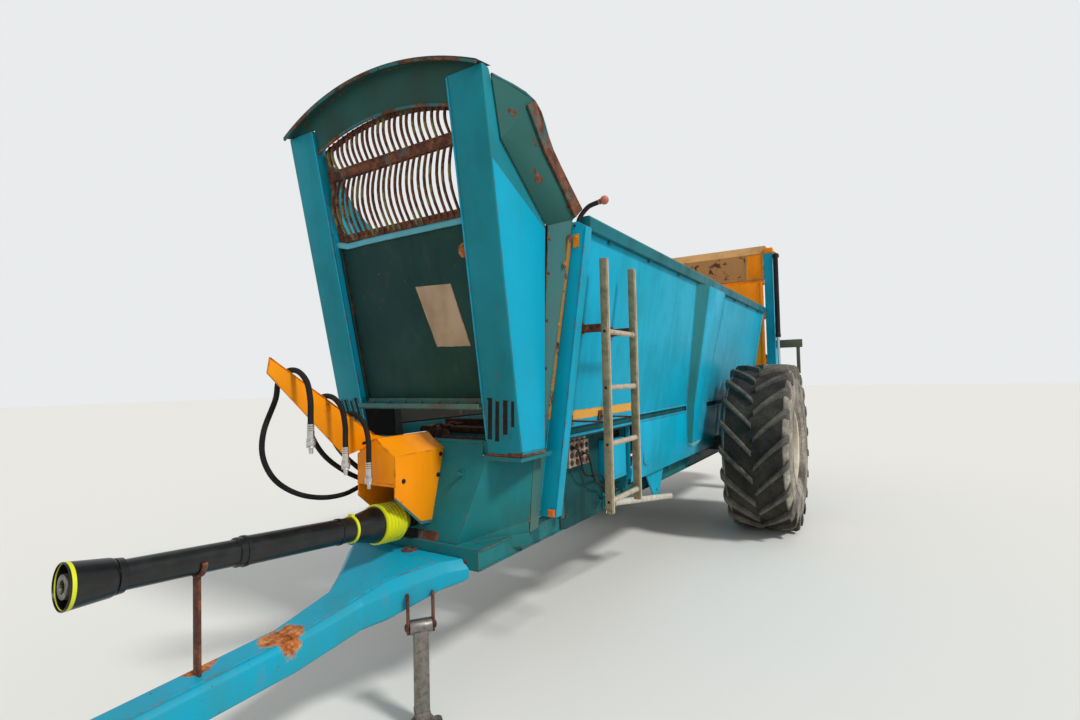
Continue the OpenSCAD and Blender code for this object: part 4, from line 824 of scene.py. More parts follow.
def make_front_wall():
    """The leaning front wall between the columns, its ledge, blank plate and crossbar."""
    bm = bmesh.new()
    up = (CROSS_Z + 34 - WALL_FOOT) / cos(radians(LEAN))
    low, high = column_in(WALL_FOOT) - 1, column_in(CROSS_Z) - 1
    # The front wall's sheet takes the dark coat that paints its shade.
    slab(bm, [(-low, 1, 30), (low, 1, 30), (high, 1, up), (-high, 1, up)], (0, 19, 0))
    slab(bm, [(-low, -10, 30), (-low + 22, -10, 30), (-high + 22, -10, up), (-high, -10, up)], (0, 12, 0))
    slab(bm, [(low - 22, -10, 30), (low, -10, 30), (high, -10, up), (high - 22, -10, up)], (0, 12, 0))
    leaning(bm, WALL_FOOT)
    finish(bm, "front_wall_sheet", "shaded_inner_enamel", stands_for="front_wall", round_mm=2.5)

    # Rusted ledge over the opening, with the bolts that hold the wall's foot.
    block(bm, -low, low, -70, 1, 0, 9)
    block(bm, -low, low, -70, -61, 0, 30)
    block(bm, -low, low, -9, 1, 4, 44)
    for k in range(7):
        bolt(bm, (-360 + 120 * k, -9, 26), (0, -1, 0), 11)
    leaning(bm, WALL_FOOT)
    finish(bm, "front_ledge", "ledge_enamel", stands_for="front_wall", round_mm=1.8, segments=1)

    # Blank plate riveted on the front wall.
    scale = 1 / cos(radians(LEAN))
    corners = [(68, 1997), (298, 1989), (371, 1686), (157, 1692)]
    slab(bm, [(x, -3, (z - WALL_FOOT) * scale) for x, z in corners], (0, 4, 0))
    leaning(bm, WALL_FOOT)
    finish(bm, "blank_plate", "worn_plate", round_mm=0.8)

    # Crossbar of folded sheet, bent and torn where it meets the far column; its pale blue coat is partly
    # painted sky reflection.
    rings = []
    places = [(-446, -30, 12), (-415, -26, 5), (-378, -6, -5), (-330, 2, -4), (-240, 4, -1), (-100, 0, 0),
              (0, 0, 0), (200, 0, 0), (360, 0, 0), (446, 0, 0)]
    for x, out, drop in places:
        y = max(out * 0.35, -10)
        rings.append([(x, y - 9, 28 + drop), (x, y - 11, 50 + drop), (x, y - 3, 59 + drop),
                      (x, y + 22, 60 + drop), (x, y + 25, 56 + drop), (x, y + 24, 30 + drop)])
    loft(bm, rings)
    leaning(bm, CROSS_Z)
    finish(bm, "crossbar_fold", "crossbar_sheen_enamel", stands_for="crossbar", round_mm=3, sharp=25)


def slat_bow(low, high, bow):
    """(y, z) places up a slat that bows forward between low and high."""
    return [(-bow * sin(pi * k / 8), low + (high - low) * k / 8) for k in range(9)]


def make_grille(sizes):
    """The rusted wind grille: bowed slats between the lower rail, the middle band and the arch."""
    base, half, mid = GRILLE_Z, GRILLE_HALF, GRILLE_MID
    pitch = 2 * half / (sizes.slats + 1)
    bm = bmesh.new()
    for i in range(1, sizes.slats + 1):
        x = -half + i * pitch
        wave = 2.2 * sin(i * 2.6)
        for low, high, bow in ((2, mid + 8, 48), (mid + 47, arch_z(x) - HOOD_BAND - base + 18, 26)):
            rings = []
            for y, z in slat_bow(low, high, bow):
                side = wave * sin(pi * (z - low) / (high - low))
                rings.append([(x - 5 + side, y + 5, z), (x + 5 + side, y + 5, z), (x + 5 + side, y + 19, z),
                              (x - 5 + side, y + 19, z)])
            loft(bm, rings)
    leaning(bm, base)
    finish(bm, "grille_slats", "mossy_rust", stands_for="front_grille", round_mm=1.2, segments=1)

    block(bm, -half, half, 5, 30, 0, 38)
    block(bm, -half, half, 1, 8, 26, 40)
    block(bm, -half, half, 0, 30, mid, mid + 55)
    block(bm, -half, half, -5, 4, mid + 2, mid + 10)
    block(bm, -half, half, -5, 4, mid + 45, mid + 53)
    for side in (-1, 1):
        block(bm, side * (half - 24), side * half, 4, 30, 0, arch_z(half) - HOOD_BAND - base + 8)
        for z in (60, 190, mid + 28, mid + 120):
            bolt(bm, (side * (half - 12), 4, z), (0, -1, 0), 9)
    arch = [(x, arch_z(x, HOOD_BAND) - base) for x in range(-440, 441, 40)]
    ring = [(x, 2, z - 4) for x, z in arch] + [(x, 2, z + 16) for x, z in reversed(arch)]
    slab(bm, ring, (0, 26, 0))
    leaning(bm, base)
    finish(bm, "grille_frame", "rusty_sheet", stands_for="front_grille", round_mm=2, segments=1)


def make_hood():
    """The arched hood over the grille, with rolled rims."""
    bm = bmesh.new()
    base = HOOD_BASE
    inner = [HOOD_INNER * k / 14 for k in range(-14, 15)]
    outer = [TOP_HALF * k / 20 for k in range(20, -21, -1)]
    shoulder = HOOD_BAND + 12
    outline = [(x, arch_z(x, HOOD_BAND) - base) for x in inner] + [(HOOD_INNER, shoulder)]
    outline += [(x, arch_z(x) - base) for x in outer] + [(-HOOD_INNER, shoulder)]
    # The hood's sheets take the dark coat that paints the shade under the arch.
    slab(bm, [(x, -28, z) for x, z in outline], (0, 8, 0))
    top = [(x, arch_z(x) - base) for x in outer] + [(x, arch_z(x, 8) - base) for x in reversed(outer[1:-1])]
    slab(bm, [(x, -80, z) for x, z in top], (0, 110, 0))
    leaning(bm, base)
    finish(bm, "hood_sheets", "shaded_hood_enamel", stands_for="front_hood", round_mm=1.5, segments=1, sharp=50)

    pipe(bm, [(x, -27, arch_z(x, HOOD_BAND) - base + 4) for x in inner], 8, 10)
    pipe(bm, [(x * 0.992, -74, arch_z(x, 9) - base) for x in outer], 7, 10)
    leaning(bm, base)
    finish(bm, "hood_rims", "rim_rust", stands_for="front_hood")


WING = {
    "column_low": (585, 175.3, 1210),
    "post_low": (546, 285, 1210),
    "top_front": (665.1, lean_y(2860) + 20, 2830),
    "top_back": (710.5, -10, 2810),
    "middle": (725.5, 120, 2620),
    "rail_end": (760, 340, 2380),
    "front_mid": (659.5, lean_y(2600) + 40, 2580),
    "post_top": (736.3, 279, 2318),
    "column_side": (651.5, 175.3, 2280),
    "inner_low": (550, 175.3, 1210),
    "inner_top": (615, 175.3, 2280),
}


def wing_sheet(bm, *corners):
    """Sheet spanned between named corners of the wing."""
    points = [WING[c] for c in corners]
    hull(bm, [(x + dx, y + dy, z + dz) for x, y, z in points
              for dx in (0, 8) for dy in (0, 4) for dz in (0, 4)])


def make_wings():
    """Side sheets between column and front post, with their edge bars."""
    bm = bmesh.new()
    wing_sheet(bm, "column_low", "column_side", "post_low", "post_top")
    wing_sheet(bm, "column_low", "column_side", "inner_low", "inner_top")
    finish(bm, "wing_lower", "wing_enamel", stands_for=WINGS, round_mm=1.5, twin=True,
           segments=1)

    wing_sheet(bm, "top_front", "top_back", "front_mid")
    wing_sheet(bm, "top_back", "middle", "front_mid")
    wing_sheet(bm, "middle", "rail_end", "post_top", "column_side", "front_mid")
    finish(bm, "wing_upper", "rusty_wing", stands_for=WINGS, round_mm=1.5, twin=True, segments=1)

    edge = [Vector(WING[c]) + Vector((4, 2, 2)) for c in ("top_front", "top_back", "middle", "rail_end")]
    pipe(bm, smooth_path(edge, 4), 8, 10)
    low, high = Vector(WING["column_low"]), Vector(WING["column_side"])
    ring = [Vector((6, 0, 0)), Vector((12, 0, 0)), Vector((10, 34, 0)), Vector((4, 34, 0))]
    loft(bm, [[low + r for r in ring], [high + r for r in ring]])
    for f in (0.12, 0.34, 0.56, 0.78, 0.94):
        bolt(bm, low.lerp(high, f) + Vector((12, 17, 0)), (1, 0.1, 0), 11)
    finish(bm, "wing_edges", "rim_rust", stands_for=WINGS, round_mm=1.2, twin=True, segments=1)

    # Rusted bands along the outer edges, where the paint has gone.
    band = [Vector(WING[c]) for c in ("top_back", "middle", "rail_end")]
    inward = [Vector((-1, -62, -38)), Vector((-1, -74, -26)), Vector((-3, -60, -52))]
    loft(bm, [[p + Vector((-1, 2, 3)), p + Vector((9.5, 2, 3)), p + inner + Vector((9.5, 0, 0)),
               p + inner + Vector((-1, 0, 0))] for p, inner in zip(band, inward)])
    finish(bm, "wing_bands", "wing_rust", stands_for=WINGS, round_mm=1.5, twin=True, segments=1)

    # Angle bar that holds the lower sheet against the front post, ochre with rust.
    low, high = Vector(WING["post_low"]), Vector(WING["post_top"])
    ring = [Vector((6, -26, 0)), Vector((17, -26, 0)), Vector((19, 4, 0)), Vector((8, 4, 0))]
    low, high = low.lerp(high, 0.09), low.lerp(high, 0.93)
    loft(bm, [[low + r for r in ring], [high + r for r in ring]])
    for f in (0.02, 0.2, 0.52, 0.84):
        bolt(bm, low.lerp(high, f) + Vector((17, -34, 0)), (1, -0.4, 0), 12)
    finish(bm, "wing_angles", "ochre_rust", stands_for=WINGS, round_mm=2, twin=True, segments=1)

    # Closing panel under the wing, between the apron's side and the front post.
    panel = ((498, 192, 745), (486, 287, 745), (531, 192, 1130), (538, 287, 1130))
    hull(bm, [(x + dx, y, z) for x, y, z in panel for dx in (0, 8)])
    hull(bm, [(596, 186, 1158), (602, 186, 1158), (546, 287, 1158), (554, 287, 1158),
              (596, 186, 1216), (602, 186, 1216), (548, 287, 1216), (556, 287, 1216)])
    finish(bm, "wing_feet", "wing_enamel", stands_for=WINGS, round_mm=2, twin=True, segments=1)


def post_x(z):
    """Outer half width of the front post at height z."""
    return 602 + (z - 805) * 0.1471


def make_posts():
    """Front posts at the wall ends, with their bent locking levers."""
    bm = bmesh.new()
    slab(bm, [(post_x(805) - 110, 290, 805), (post_x(805), 290, 805), (post_x(2280), 290, 2280),
              (post_x(2310) - 55, 290, 2310), (post_x(2310) - 110, 290, 2310)], (0, 60, 0))
    # Folded lips down both edges of the post's face.
    for inset in (4, 103):
        pipe(bm, [(post_x(z) - inset, 291, z) for z in (812, 2276)], 4.5, 6)
    finish(bm, "front_post_sheets", "turquoise_enamel", stands_for="front_posts", round_mm=6, twin=True,
           segments=3)

    points = [(752, 320, 2250), (752, 320, 2290), (763, 320, 2330), (790, 320, 2362), (822, 320, 2385),
              (865, 320, 2394), (900, 320, 2400)]
    pipe(bm, smooth_path(points, 3), 12, 12)
    block(bm, 738, 768, 306, 334, 2262, 2312)
    rod(bm, (752, 286, 2290), (752, 350, 2290), 8, 12)
    pipe(bm, smooth_path([(700, 300, 2306), (694, 302, 2350), (706, 306, 2385), (722, 310, 2378),
                          (722, 312, 2340), (712, 312, 2306)], 4), 4.5, 8)
    finish(bm, "lock_levers", "black_enamel", stands_for="front_posts", round_mm=1.5, twin=True, segments=1)

    bmesh.ops.create_uvsphere(bm, u_segments=24, v_segments=14, radius=22,
                              matrix=Matrix.Translation((906, 320, 2400)))
    rod(bm, (884, 320, 2397), (872, 320, 2395), 15, 16, 11)
    finish(bm, "lever_knobs", "pale_red_plastic", stands_for="front_posts", round_mm=1, twin=True, segments=1)

    slab(bm, [(742, 288, 2176), (774, 288, 2178), (776, 288, 2246), (744, 288, 2244)], (0, -3, 0))
    bolt(bm, (759, 285, 2230), (0, -1, 0), 8)
    finish(bm, "orange_tabs", "orange_enamel", round_mm=0.8, twin=True, segments=1)

    slab(bm, [(556, 290, 808), (596, 290, 810), (597, 290, 848), (557, 290, 846)], (0, -7, 0))
    block(bm, 561, 592, 280, 284, 814, 843)
    finish(bm, "side_reflectors", "orange_reflector", round_mm=2, twin=True, segments=1)


def make_apron():
    """The folded apron under the columns, with its flanges, socket and bolts."""
    bm = bmesh.new()
    # The apron's darker, duller coat is partly painted shade.
    corners = [(300, 742.5), (404, 1133), (378, 1133), (378, 1225)]
    outline = corners + [(-x, z) for x, z in reversed(corners)]
    slab(bm, [(x, apron_y(z), z) for x, z in outline], (0, 8, 0))
    # Folded upper lip.
    slab(bm, [(x, apron_y(z) - 3, z) for x, z in ((-376, 1208), (376, 1208), (376, 1223), (-376, 1223))],
         (0, 6, 0))
    high, low, foot = apron_y(1128), apron_y(742.5), apron_y(742) + 1
    for side in (-1, 1):
        # Angled side sheet, and its lower edge carried down to the sill.
        sheet = ((400, high, 1128), (296, low, 742.5), (498, 190, 804.5), (530, 190, 1128))
        hull(bm, [(side * (x + thick), y, z) for x, y, z in sheet for thick in (0, 8)])
        edge = ((296, low, 743), (498, 189, 806), (494, 189, 744))
        hull(bm, [(side * (x + thick), y, z) for x, y, z in edge for thick in (0, 7)])
        # Strips down to the sill and under the column's foot, and the corner piece over that.
        for strip, heights in ((((297, foot), (303, foot), (499, 189), (505, 189)), (684, 746)),
                               (((398, -32), (407, -32), (530, 190), (538, 190)), (1124, 1158))):
            hull(bm, [(side * x, y, z) for x, y in strip for z in heights])
        block(bm, side * 376, side * 418, -9, -1, 1128, 1222)
    finish(bm, "apron_sheets", "dull_shade_enamel", stands_for="front_apron", round_mm=2.5)

    # Small cable socket on its tab.
    block(bm, 254, 282, apron_y(1055) - 6, apron_y(1055) + 3, 1036, 1082)
    rod(bm, (268, apron_y(1055) - 4, 1056), (268, apron_y(1055) - 22, 1061), 11, 18)
    rod(bm, (268, apron_y(1055) - 22, 1061), (268, apron_y(1055) - 27, 1062), 13, 18)
    finish(bm, "apron_fittings", "dull_shade_enamel", round_mm=1.2, segments=1)

    slab(bm, [(x, apron_y(z) - 1, z) for x, z in ((48, 782), (180, 788), (188, 744), (60, 733))], (0, -3, 0))
    slab(bm, [(262, -152, 657), (400, -152, 662), (396, -152, 701), (268, -152, 697)], (0, -7, 0))
    for x in (292, 372):
        bolt(bm, (x, -159, 680), (0, -1, 0), 11)
    finish(bm, "rusty_tab", "rusty_sheet", round_mm=1.5, segments=1)

    # Torn opening in the apron's foot over the drawbar, drawn as a dark sheet of painted shade.
    slab(bm, [(x, apron_y(z) - 1, z) for x, z in ((-66, 778), (44, 784), (58, 706), (-46, 702))], (0, -2, 0))
    finish(bm, "apron_opening", "shadow_gap")


# Chassis

DRAWBAR = [(-162, 400, 585, 695), (-252, 330, 560, 690), (-430, 190, 470, 640), (-540, 120, 452, 590),
           (-830, 85, 400, 535), (-1760, 75, 370, 490)]
RING_Y = -1960
RING_Z = 430
LEG_AT = (272.03, -350.46)
LEG_TURN = 51.81


def chamfer(half):
    """Width of the drawbar's chamfer where the bar is this wide."""
    return min(half, 190) * 0.22


def section(y, half, low, high, grow=0.0):
    """Ring of the drawbar's box section with its chamfered edges."""
    half, low, high = half + grow, low - grow, high + grow
    c = chamfer(half)
    return [(-half + c, y, low), (half - c, y, low), (half, y, low + c * 0.6), (half, y, high - c),
            (half - c, y, high), (-half + c, y, high), (-half, y, high - c), (-half, y, low + c * 0.6)]


def make_drawbar():
    """The V drawbar narrowing to its nose, with plate seams, and the towing ring."""
    bm = bmesh.new()
    loft(bm, [section(*s) for s in DRAWBAR])
    finish(bm, "drawbar_box", "drawbar_enamel", stands_for="drawbar", round_mm=5, segments=3, sharp=20)

    # Top plate standing proud of the box, rusted along its edges.
    rings = []
    for y, half, _, high in DRAWBAR[1:]:
        wide = half - chamfer(half) - 8
        rings.append([(-wide, y, high - 3), (wide, y, high - 3), (wide, y, high + 5), (-wide, y, high + 5)])
    loft(bm, rings)
    finish(bm, "drawbar_top", "drawbar_enamel", stands_for="drawbar", round_mm=2, segments=1)

    loft(bm, [section(-1700, 76, 371.5, 491.5, grow=2.5), section(-1756, 75, 370.5, 490.5, grow=2.5)])
    finish(bm, "drawbar_welds", "rim_rust", stands_for="drawbar", round_mm=1, segments=1)

    # Rusted boss on the root's top.
    turned(bm, [(688, 17), (688, 42), (699, 40), (702, 34), (702, 19)], (40, -182, 0), "Z", 40)
    finish(bm, "drawbar_boss", "rusty_sheet", round_mm=1.5, segments=1)

    # Forged towing ring with its shank and bolted flange.
    turned(bm, [(20 * cos(a) * 0.98, 45 + 20 * sin(a) * 0.98)
                for a in [tau * k / 16 for k in range(16)]], (0, RING_Y, RING_Z), "Z", 40)
    loft(bm, [[(x * w, y, RING_Z + z * h) for x, z in ((-1, -0.5), (-0.5, -1), (0.5, -1), (1, -0.5), (1, 0.5),
                                                     (0.5, 1), (-0.5, 1), (-1, 0.5))]
              for y, w, h in ((RING_Y + 46, 24, 17), (RING_Y + 80, 30, 26), (-1785, 34, 34))])
    block(bm, -64, 64, -1785, -1761, RING_Z - 58, RING_Z + 58)
    for x in (-46, 46):
        for z in (-40, 40):
            bolt(bm, (x, -1785, RING_Z + z), (0, -1, 0), 13)
    finish(bm, "towing_ring_forging", "worn_steel", stands_for="towing_ring", round_mm=2.5)


def leg_turned(bm):
    """Turns what was drawn along x about the parking leg's hinge onto its slanted axis."""
    placed(bm, bm.verts, Matrix.Translation((*LEG_AT, 0)) @ Matrix.Rotation(radians(LEG_TURN), 4, "Z"))


def make_leg():
    """The folding parking leg and the flats on the drawbar that carry it."""
    bm = bmesh.new()
    outline = [(-15, 418), (-8, 410), (8, 410), (15, 418), (15, 585), (-15, 585)]
    for side in (-1, 1):
        slab(bm, [(side * 55 - 6, y, z) for y, z in outline], (12, 0, 0))
    rod(bm, (-70, 0, 440), (70, 0, 440), 10, 20)
    rod(bm, (61.5, 0, 440), (67, 0, 440), 17, 20)
    rod(bm, (-61.5, 0, 440), (-67, 0, 440), 17, 20)
    leg_turned(bm)
    finish(bm, "leg_flats", "rusty_sheet", stands_for="jack_bracket", round_mm=2, segments=1)

    rod(bm, (-48, 0, 440), (48, 0, 440), 31.5, 32)
    block(bm, -31, 31, -31, 31, 12, 425)
    for z in (110, 170, 230, 290):
        rod(bm, (-31.6, 0, z), (-30, 0, z), 9, 16)
        rod(bm, (30, 0, z), (31.6, 0, z), 9, 16)
    block(bm, -33.5, 33.5, -33.5, 33.5, 60, 78)
    outline = [(-90, -32), (-78, -45), (78, -45), (90, -32), (90, 32), (78, 45), (-78, 45), (-90, 32)]
    slab(bm, [(x, y, 0.3) for x, y in outline], (0, 0, 11.7))
    for side in (-1, 1):
        slab(bm, [(side * 31, -3, 12), (side * 70, -3, 12), (side * 31, -3, 62)], (0, 6, 0))
    leg_turned(bm)
    finish(bm, "parking_leg_tube", "worn_steel", body="parking_leg", stands_for="jack_leg", round_mm=3)


# Drive

GUARD_HALF = 126
PTO_START = -192
PTO_RISE = 4.7
PTO_LEN = 1340


def make_guard():
    """The orange guard over the input shaft: roof, side plates and front apron of sheet."""
    bm = bmesh.new()
    h, front, eaves, ridge = GUARD_HALF, -355, 1175, 1253
    # Roof folded along the machine, with a valley where it has been stood on.
    roof = [(-h, eaves), (-h * 0.5, eaves + 42), (-12, ridge - 2), (12, ridge - 2), (h * 0.5, eaves + 34),
            (h, eaves)]
    outer = [(x, z + 5) for x, z in roof]
    inner = [(x, z - 1) for x, z in reversed(roof)]
    back = apron_y(1225) - 4
    slab(bm, [(x, front, z) for x, z in outer + inner], (0, back - front, 0))
    side = [(-355, 980), (-355, 1176), (-19, 1176), (-116, 824), (-190, 832)]
    for x0 in (-h, h - 6):
        slab(bm, [(x0, y, z) for y, z in side], (6, 0, 0))
    slab(bm, [(-h, front - 0.5, 1035), (h, front - 0.5, 1035), (h, front - 0.5, eaves + 1),
              (0, front - 0.5, ridge), (-h, front - 0.5, eaves + 1)], (0, 6, 0))
    block(bm, -h, h, front - 3, front, 1035, 1047)
    finish(bm, "guard_sheets", "orange_enamel", stands_for="pto_guard", round_mm=2.2)

    for x, way in ((h, 1), (-h, -1)):
        for y, z in ((-44, 1151), (-66, 1050), (-300, 1056)):
            bolt(bm, (x, y, z), (way, 0, 0), 10)
    finish(bm, "guard_bolts", "dark_steel", round_mm=0.8, segments=1)

    # Rusted lower hems, and the opening in the far front corner of the roof, drawn as a dark sheet of painted
    # shade.
    for x0 in (-h - 1.5, h - 1.5):
        slab(bm, [(x0, -356, 979), (x0, -356, 992), (x0, -190, 846), (x0, -116, 838), (x0, -113, 823),
                  (x0, -190, 831)],
             (3, 0, 0))
    finish(bm, "guard_hems", "rim_rust", round_mm=0.8, segments=1)

    slab(bm, [(-118, -352, 1192), (-86, -352, 1235), (-86, -280, 1235), (-118, -280, 1192)], (-3, 0, 3))
    finish(bm, "guard_opening", "shadow_gap", round_mm=0.5, segments=1)


def pto(bm):
    """Turns what was drawn along -y from the gearbox onto the rising line of the drive shaft."""
    turn = Matrix.Rotation(radians(-PTO_RISE), 4, "X")
    placed(bm, bm.verts, Matrix.Translation((0, PTO_START, SHAFT_Z)) @ turn)


def tube_of(bm, outline):
    """Solid turned about the drive shaft's line from (distance out, radius) points."""
    turned(bm, [(-a, r) for a, r in outline], (0, 0, 0), "Y", 40)


def make_shaft():
    """Drive shaft in its guard: ribbed yellow cone, black tubes, collar, far cone and yoke."""
    bm = bmesh.new()
    outline = [(0.5, 50), (1, 59), (50, 89)]
    for k in range(6):
        a = 54 + k * 21
        outline += [(a, 92.5), (a + 9, 93), (a + 12, 86), (a + 18, 86)]
    tube_of(bm, outline + [(177, 92), (178, 86), (176, 80), (60, 80), (8, 52), (6, 50)])
    pto(bm)
    finish(bm, "shaft_bellows", "yellow_plastic", stands_for="pto_shaft")

    tube_of(bm, [(160, 30), (160, 84), (182, 84), (302, 57), (318, 54), (831, 54), (833, 47.5), (1210, 47.5),
                 (1212, 57), (1220, 60), (PTO_LEN - 3, 71), (PTO_LEN - 1, 67), (1225, 54), (1212, 40),
                 (400, 36), (330, 30)])
    for a in (372, 792):
        tube_of(bm, [(a, 52), (a, 57.5), (a + 14, 57.5), (a + 14, 52)])
    tube_of(bm, [(1186, 46), (1186, 54), (1208, 56), (1208, 46)])
    pto(bm)
    finish(bm, "shaft_tubes", "guard_plastic", stands_for="pto_shaft", round_mm=1, segments=1)

    # Yellow retaining clip on the collar, and the far cone's lock ring.
    tube_of(bm, [(305, 53), (305, 61), (317, 61), (317, 53)])
    block(bm, -14, 14, -319, -303, 56, 68)
    tube_of(bm, [(1322, 66), (1322, 70.6), (1334, 70.8), (1334, 66)])
    pto(bm)
    finish(bm, "shaft_clips", "yellow_plastic", round_mm=1, segments=1)

    # Splined yoke at the free end.
    tube_of(bm, [(1230, 20.5), (1230, 44), (1300, 44), (1312, 38), (1336, 36), (1336, 20.5)])
    rod(bm, (-44, -1270, 0), (44, -1270, 0), 12, 16)
    for k in range(6):
        a = tau * k / 6
        rod(bm, (19 * cos(a), -1232, 19 * sin(a)), (19 * cos(a), -1335, 19 * sin(a)), 2.5, 6)
    pto(bm)
    finish(bm, "shaft_yoke", "worn_steel", round_mm=0.8, segments=1)


def make_drive_parts():
    """Input gearbox, the shaft's rest and the hose carrier arm."""
    bm = bmesh.new()
    block(bm, -110, 110, -70, 205, 740, 940)
    for z in (776, 904):
        block(bm, -114, 114, -62, 197, z - 6, z + 6)
    rod(bm, (0, -70, SHAFT_Z), (0, -86, SHAFT_Z), 88, 36)
    rod(bm, (0, -86, SHAFT_Z), (0, -157, SHAFT_Z), 50, 32)
    rod(bm, (0, 205, SHAFT_Z), (0, 215, SHAFT_Z), 70, 32)
    for k in range(8):
        a = tau * k / 8
        bolt(bm, (72 * cos(a), -86, SHAFT_Z + 72 * sin(a)), (0, -1, 0), 9)
    for x in (-80, 80):
        rod(bm, (x, 60, 940), (x, 60, 949), 16, 12)
    rod(bm, (0, -150, SHAFT_Z), (0, -188, SHAFT_Z), 17.3, 24)
    finish(bm, "gearbox_casting", "dark_steel", stands_for="pto_gearbox", round_mm=4)

    # Rest of flat bar and a cradle of bent strip that hold the shaft's free end up.
    y = -1156.8
    block(bm, -20, 20, y, y + 10, 516, 876)
    slab(bm, [(-20, y - 1, 516), (20, y - 1, 516), (12, y - 26, 514), (-12, y - 26, 514)], (0, 0, 7))
    turns = [radians(a) for a in range(180, 361, 12)]
    ring = [(r * cos(a), y - 4, 919.5 + r * sin(a)) for r, way in ((49, 1), (59, -1)) for a in turns[::way]]
    slab(bm, ring, (0, 18, 0))
    finish(bm, "shaft_rest", "rusty_sheet", stands_for="pto_rest", round_mm=1.5, segments=1)

    outline = [(-200, 1199.9), (-200, 1245), (-271, 1262), (-818, 1637.8), (-830, 1571), (-451, 1180),
               (-357, 1199.9)]
    along_x(bm, outline, -104, -96)
    # Folded upper lip that the hoses lie on, and the hole's rolled edge.
    loft(bm, [[(-104, y, z - 3), (-92, y, z - 3), (-92, y, z + 0.5), (-104, y, z + 0.5)]
              for y, z in ((-275, 1264), (-815, 1635))])
    for x in (-105, -95.5):
        turned(bm, [(0, 14), (0, 22), (1.6, 20), (1.6, 15)], (x, -546, 1411), "X", 28)
    finish(bm, "hose_arm_plate", "orange_enamel", stands_for="hose_arm", round_mm=1.5)


# Valve bay

LADDER_X = 835
LADDER_Y = (430, 830)
LADDER_Z = (820, 2140)
RUNGS = [880, 1173, 1466, 1759]
VALVES = [634, 696, 758, 820]


def make_ladder():
    """The ladder on the near side: two rails, four rungs and its brackets."""
    bm = bmesh.new()
    x0, x1 = LADDER_X - 20, LADDER_X + 20
    y0, y1 = LADDER_Y
    bottom, top = LADDER_Z
    for y in (y0, y1 - 28):
        loft(bm, [[(x0, y, z), (x1, y, z), (x1, y + 28, z), (x0, y + 28, z)] for z in (bottom, top)])
        rod(bm, (LADDER_X, y + 14, bottom), (LADDER_X, y + 14, bottom + 8), 17, 16)
    finish(bm, "ladder_rails", "weathered_ladder", stands_for="ladder", round_mm=2.5)

    # Paler strip down each rail's outer face.
    for y in (y0, y1 - 28):
        loft(bm, [[(x1 - 1, y + 15, z), (x1 + 0.8, y + 15, z), (x1 + 0.8, y + 27, z), (x1 - 1, y + 27, z)]
                  for z in (bottom + 4, top - 4)])
    finish(bm, "ladder_strips", "rung_zinc")

    # Painted shade in the rung holes on the front rail's face.
    for z in RUNGS:
        block(bm, LADDER_X - 7, LADDER_X + 7, y0 - 0.6, y0 + 1, z - 7, z + 7)
    finish(bm, "ladder_holes", "shadow_gap")

    for z in RUNGS:
        rod(bm, (LADDER_X, y0 + 10, z), (LADDER_X, y1 - 10, z), 14, 20)
        for y in (y0 + 27, y1 - 27):
            rod(bm, (LADDER_X, y - 3, z), (LADDER_X, y + 3, z), 17.5, 20)
        # Grip ridges on the tread side of the rung.
        for k in range(9):
            rod(bm, (LADDER_X, y0 + 60 + 34 * k, z), (LADDER_X, y0 + 66 + 34 * k, z), 15, 16)
    finish(bm, "ladder_rungs", "rung_zinc", stands_for="ladder")

    for z in (1290, 1779):
        for y in (y0 + 4, y1 - 24):
            deep = 22 if z > 1500 else 5
            block(bm, wall_x(z + 20) - 4, x0 + 4, y, y + 8, z - deep, z + deep)
            block(bm, wall_x(z + 20) - 2, wall_x(z + 20) + 8, y - 16, y + 36, z - 26, z + 34)
            for dz in (-14, 24):
                bolt(bm, (wall_x(z + dz) + 6, y + 10, z + dz), (1, 0, 0), 8)
    finish(bm, "ladder_brackets", "rusty_sheet", stands_for="ladder", round_mm=1.5, segments=1)


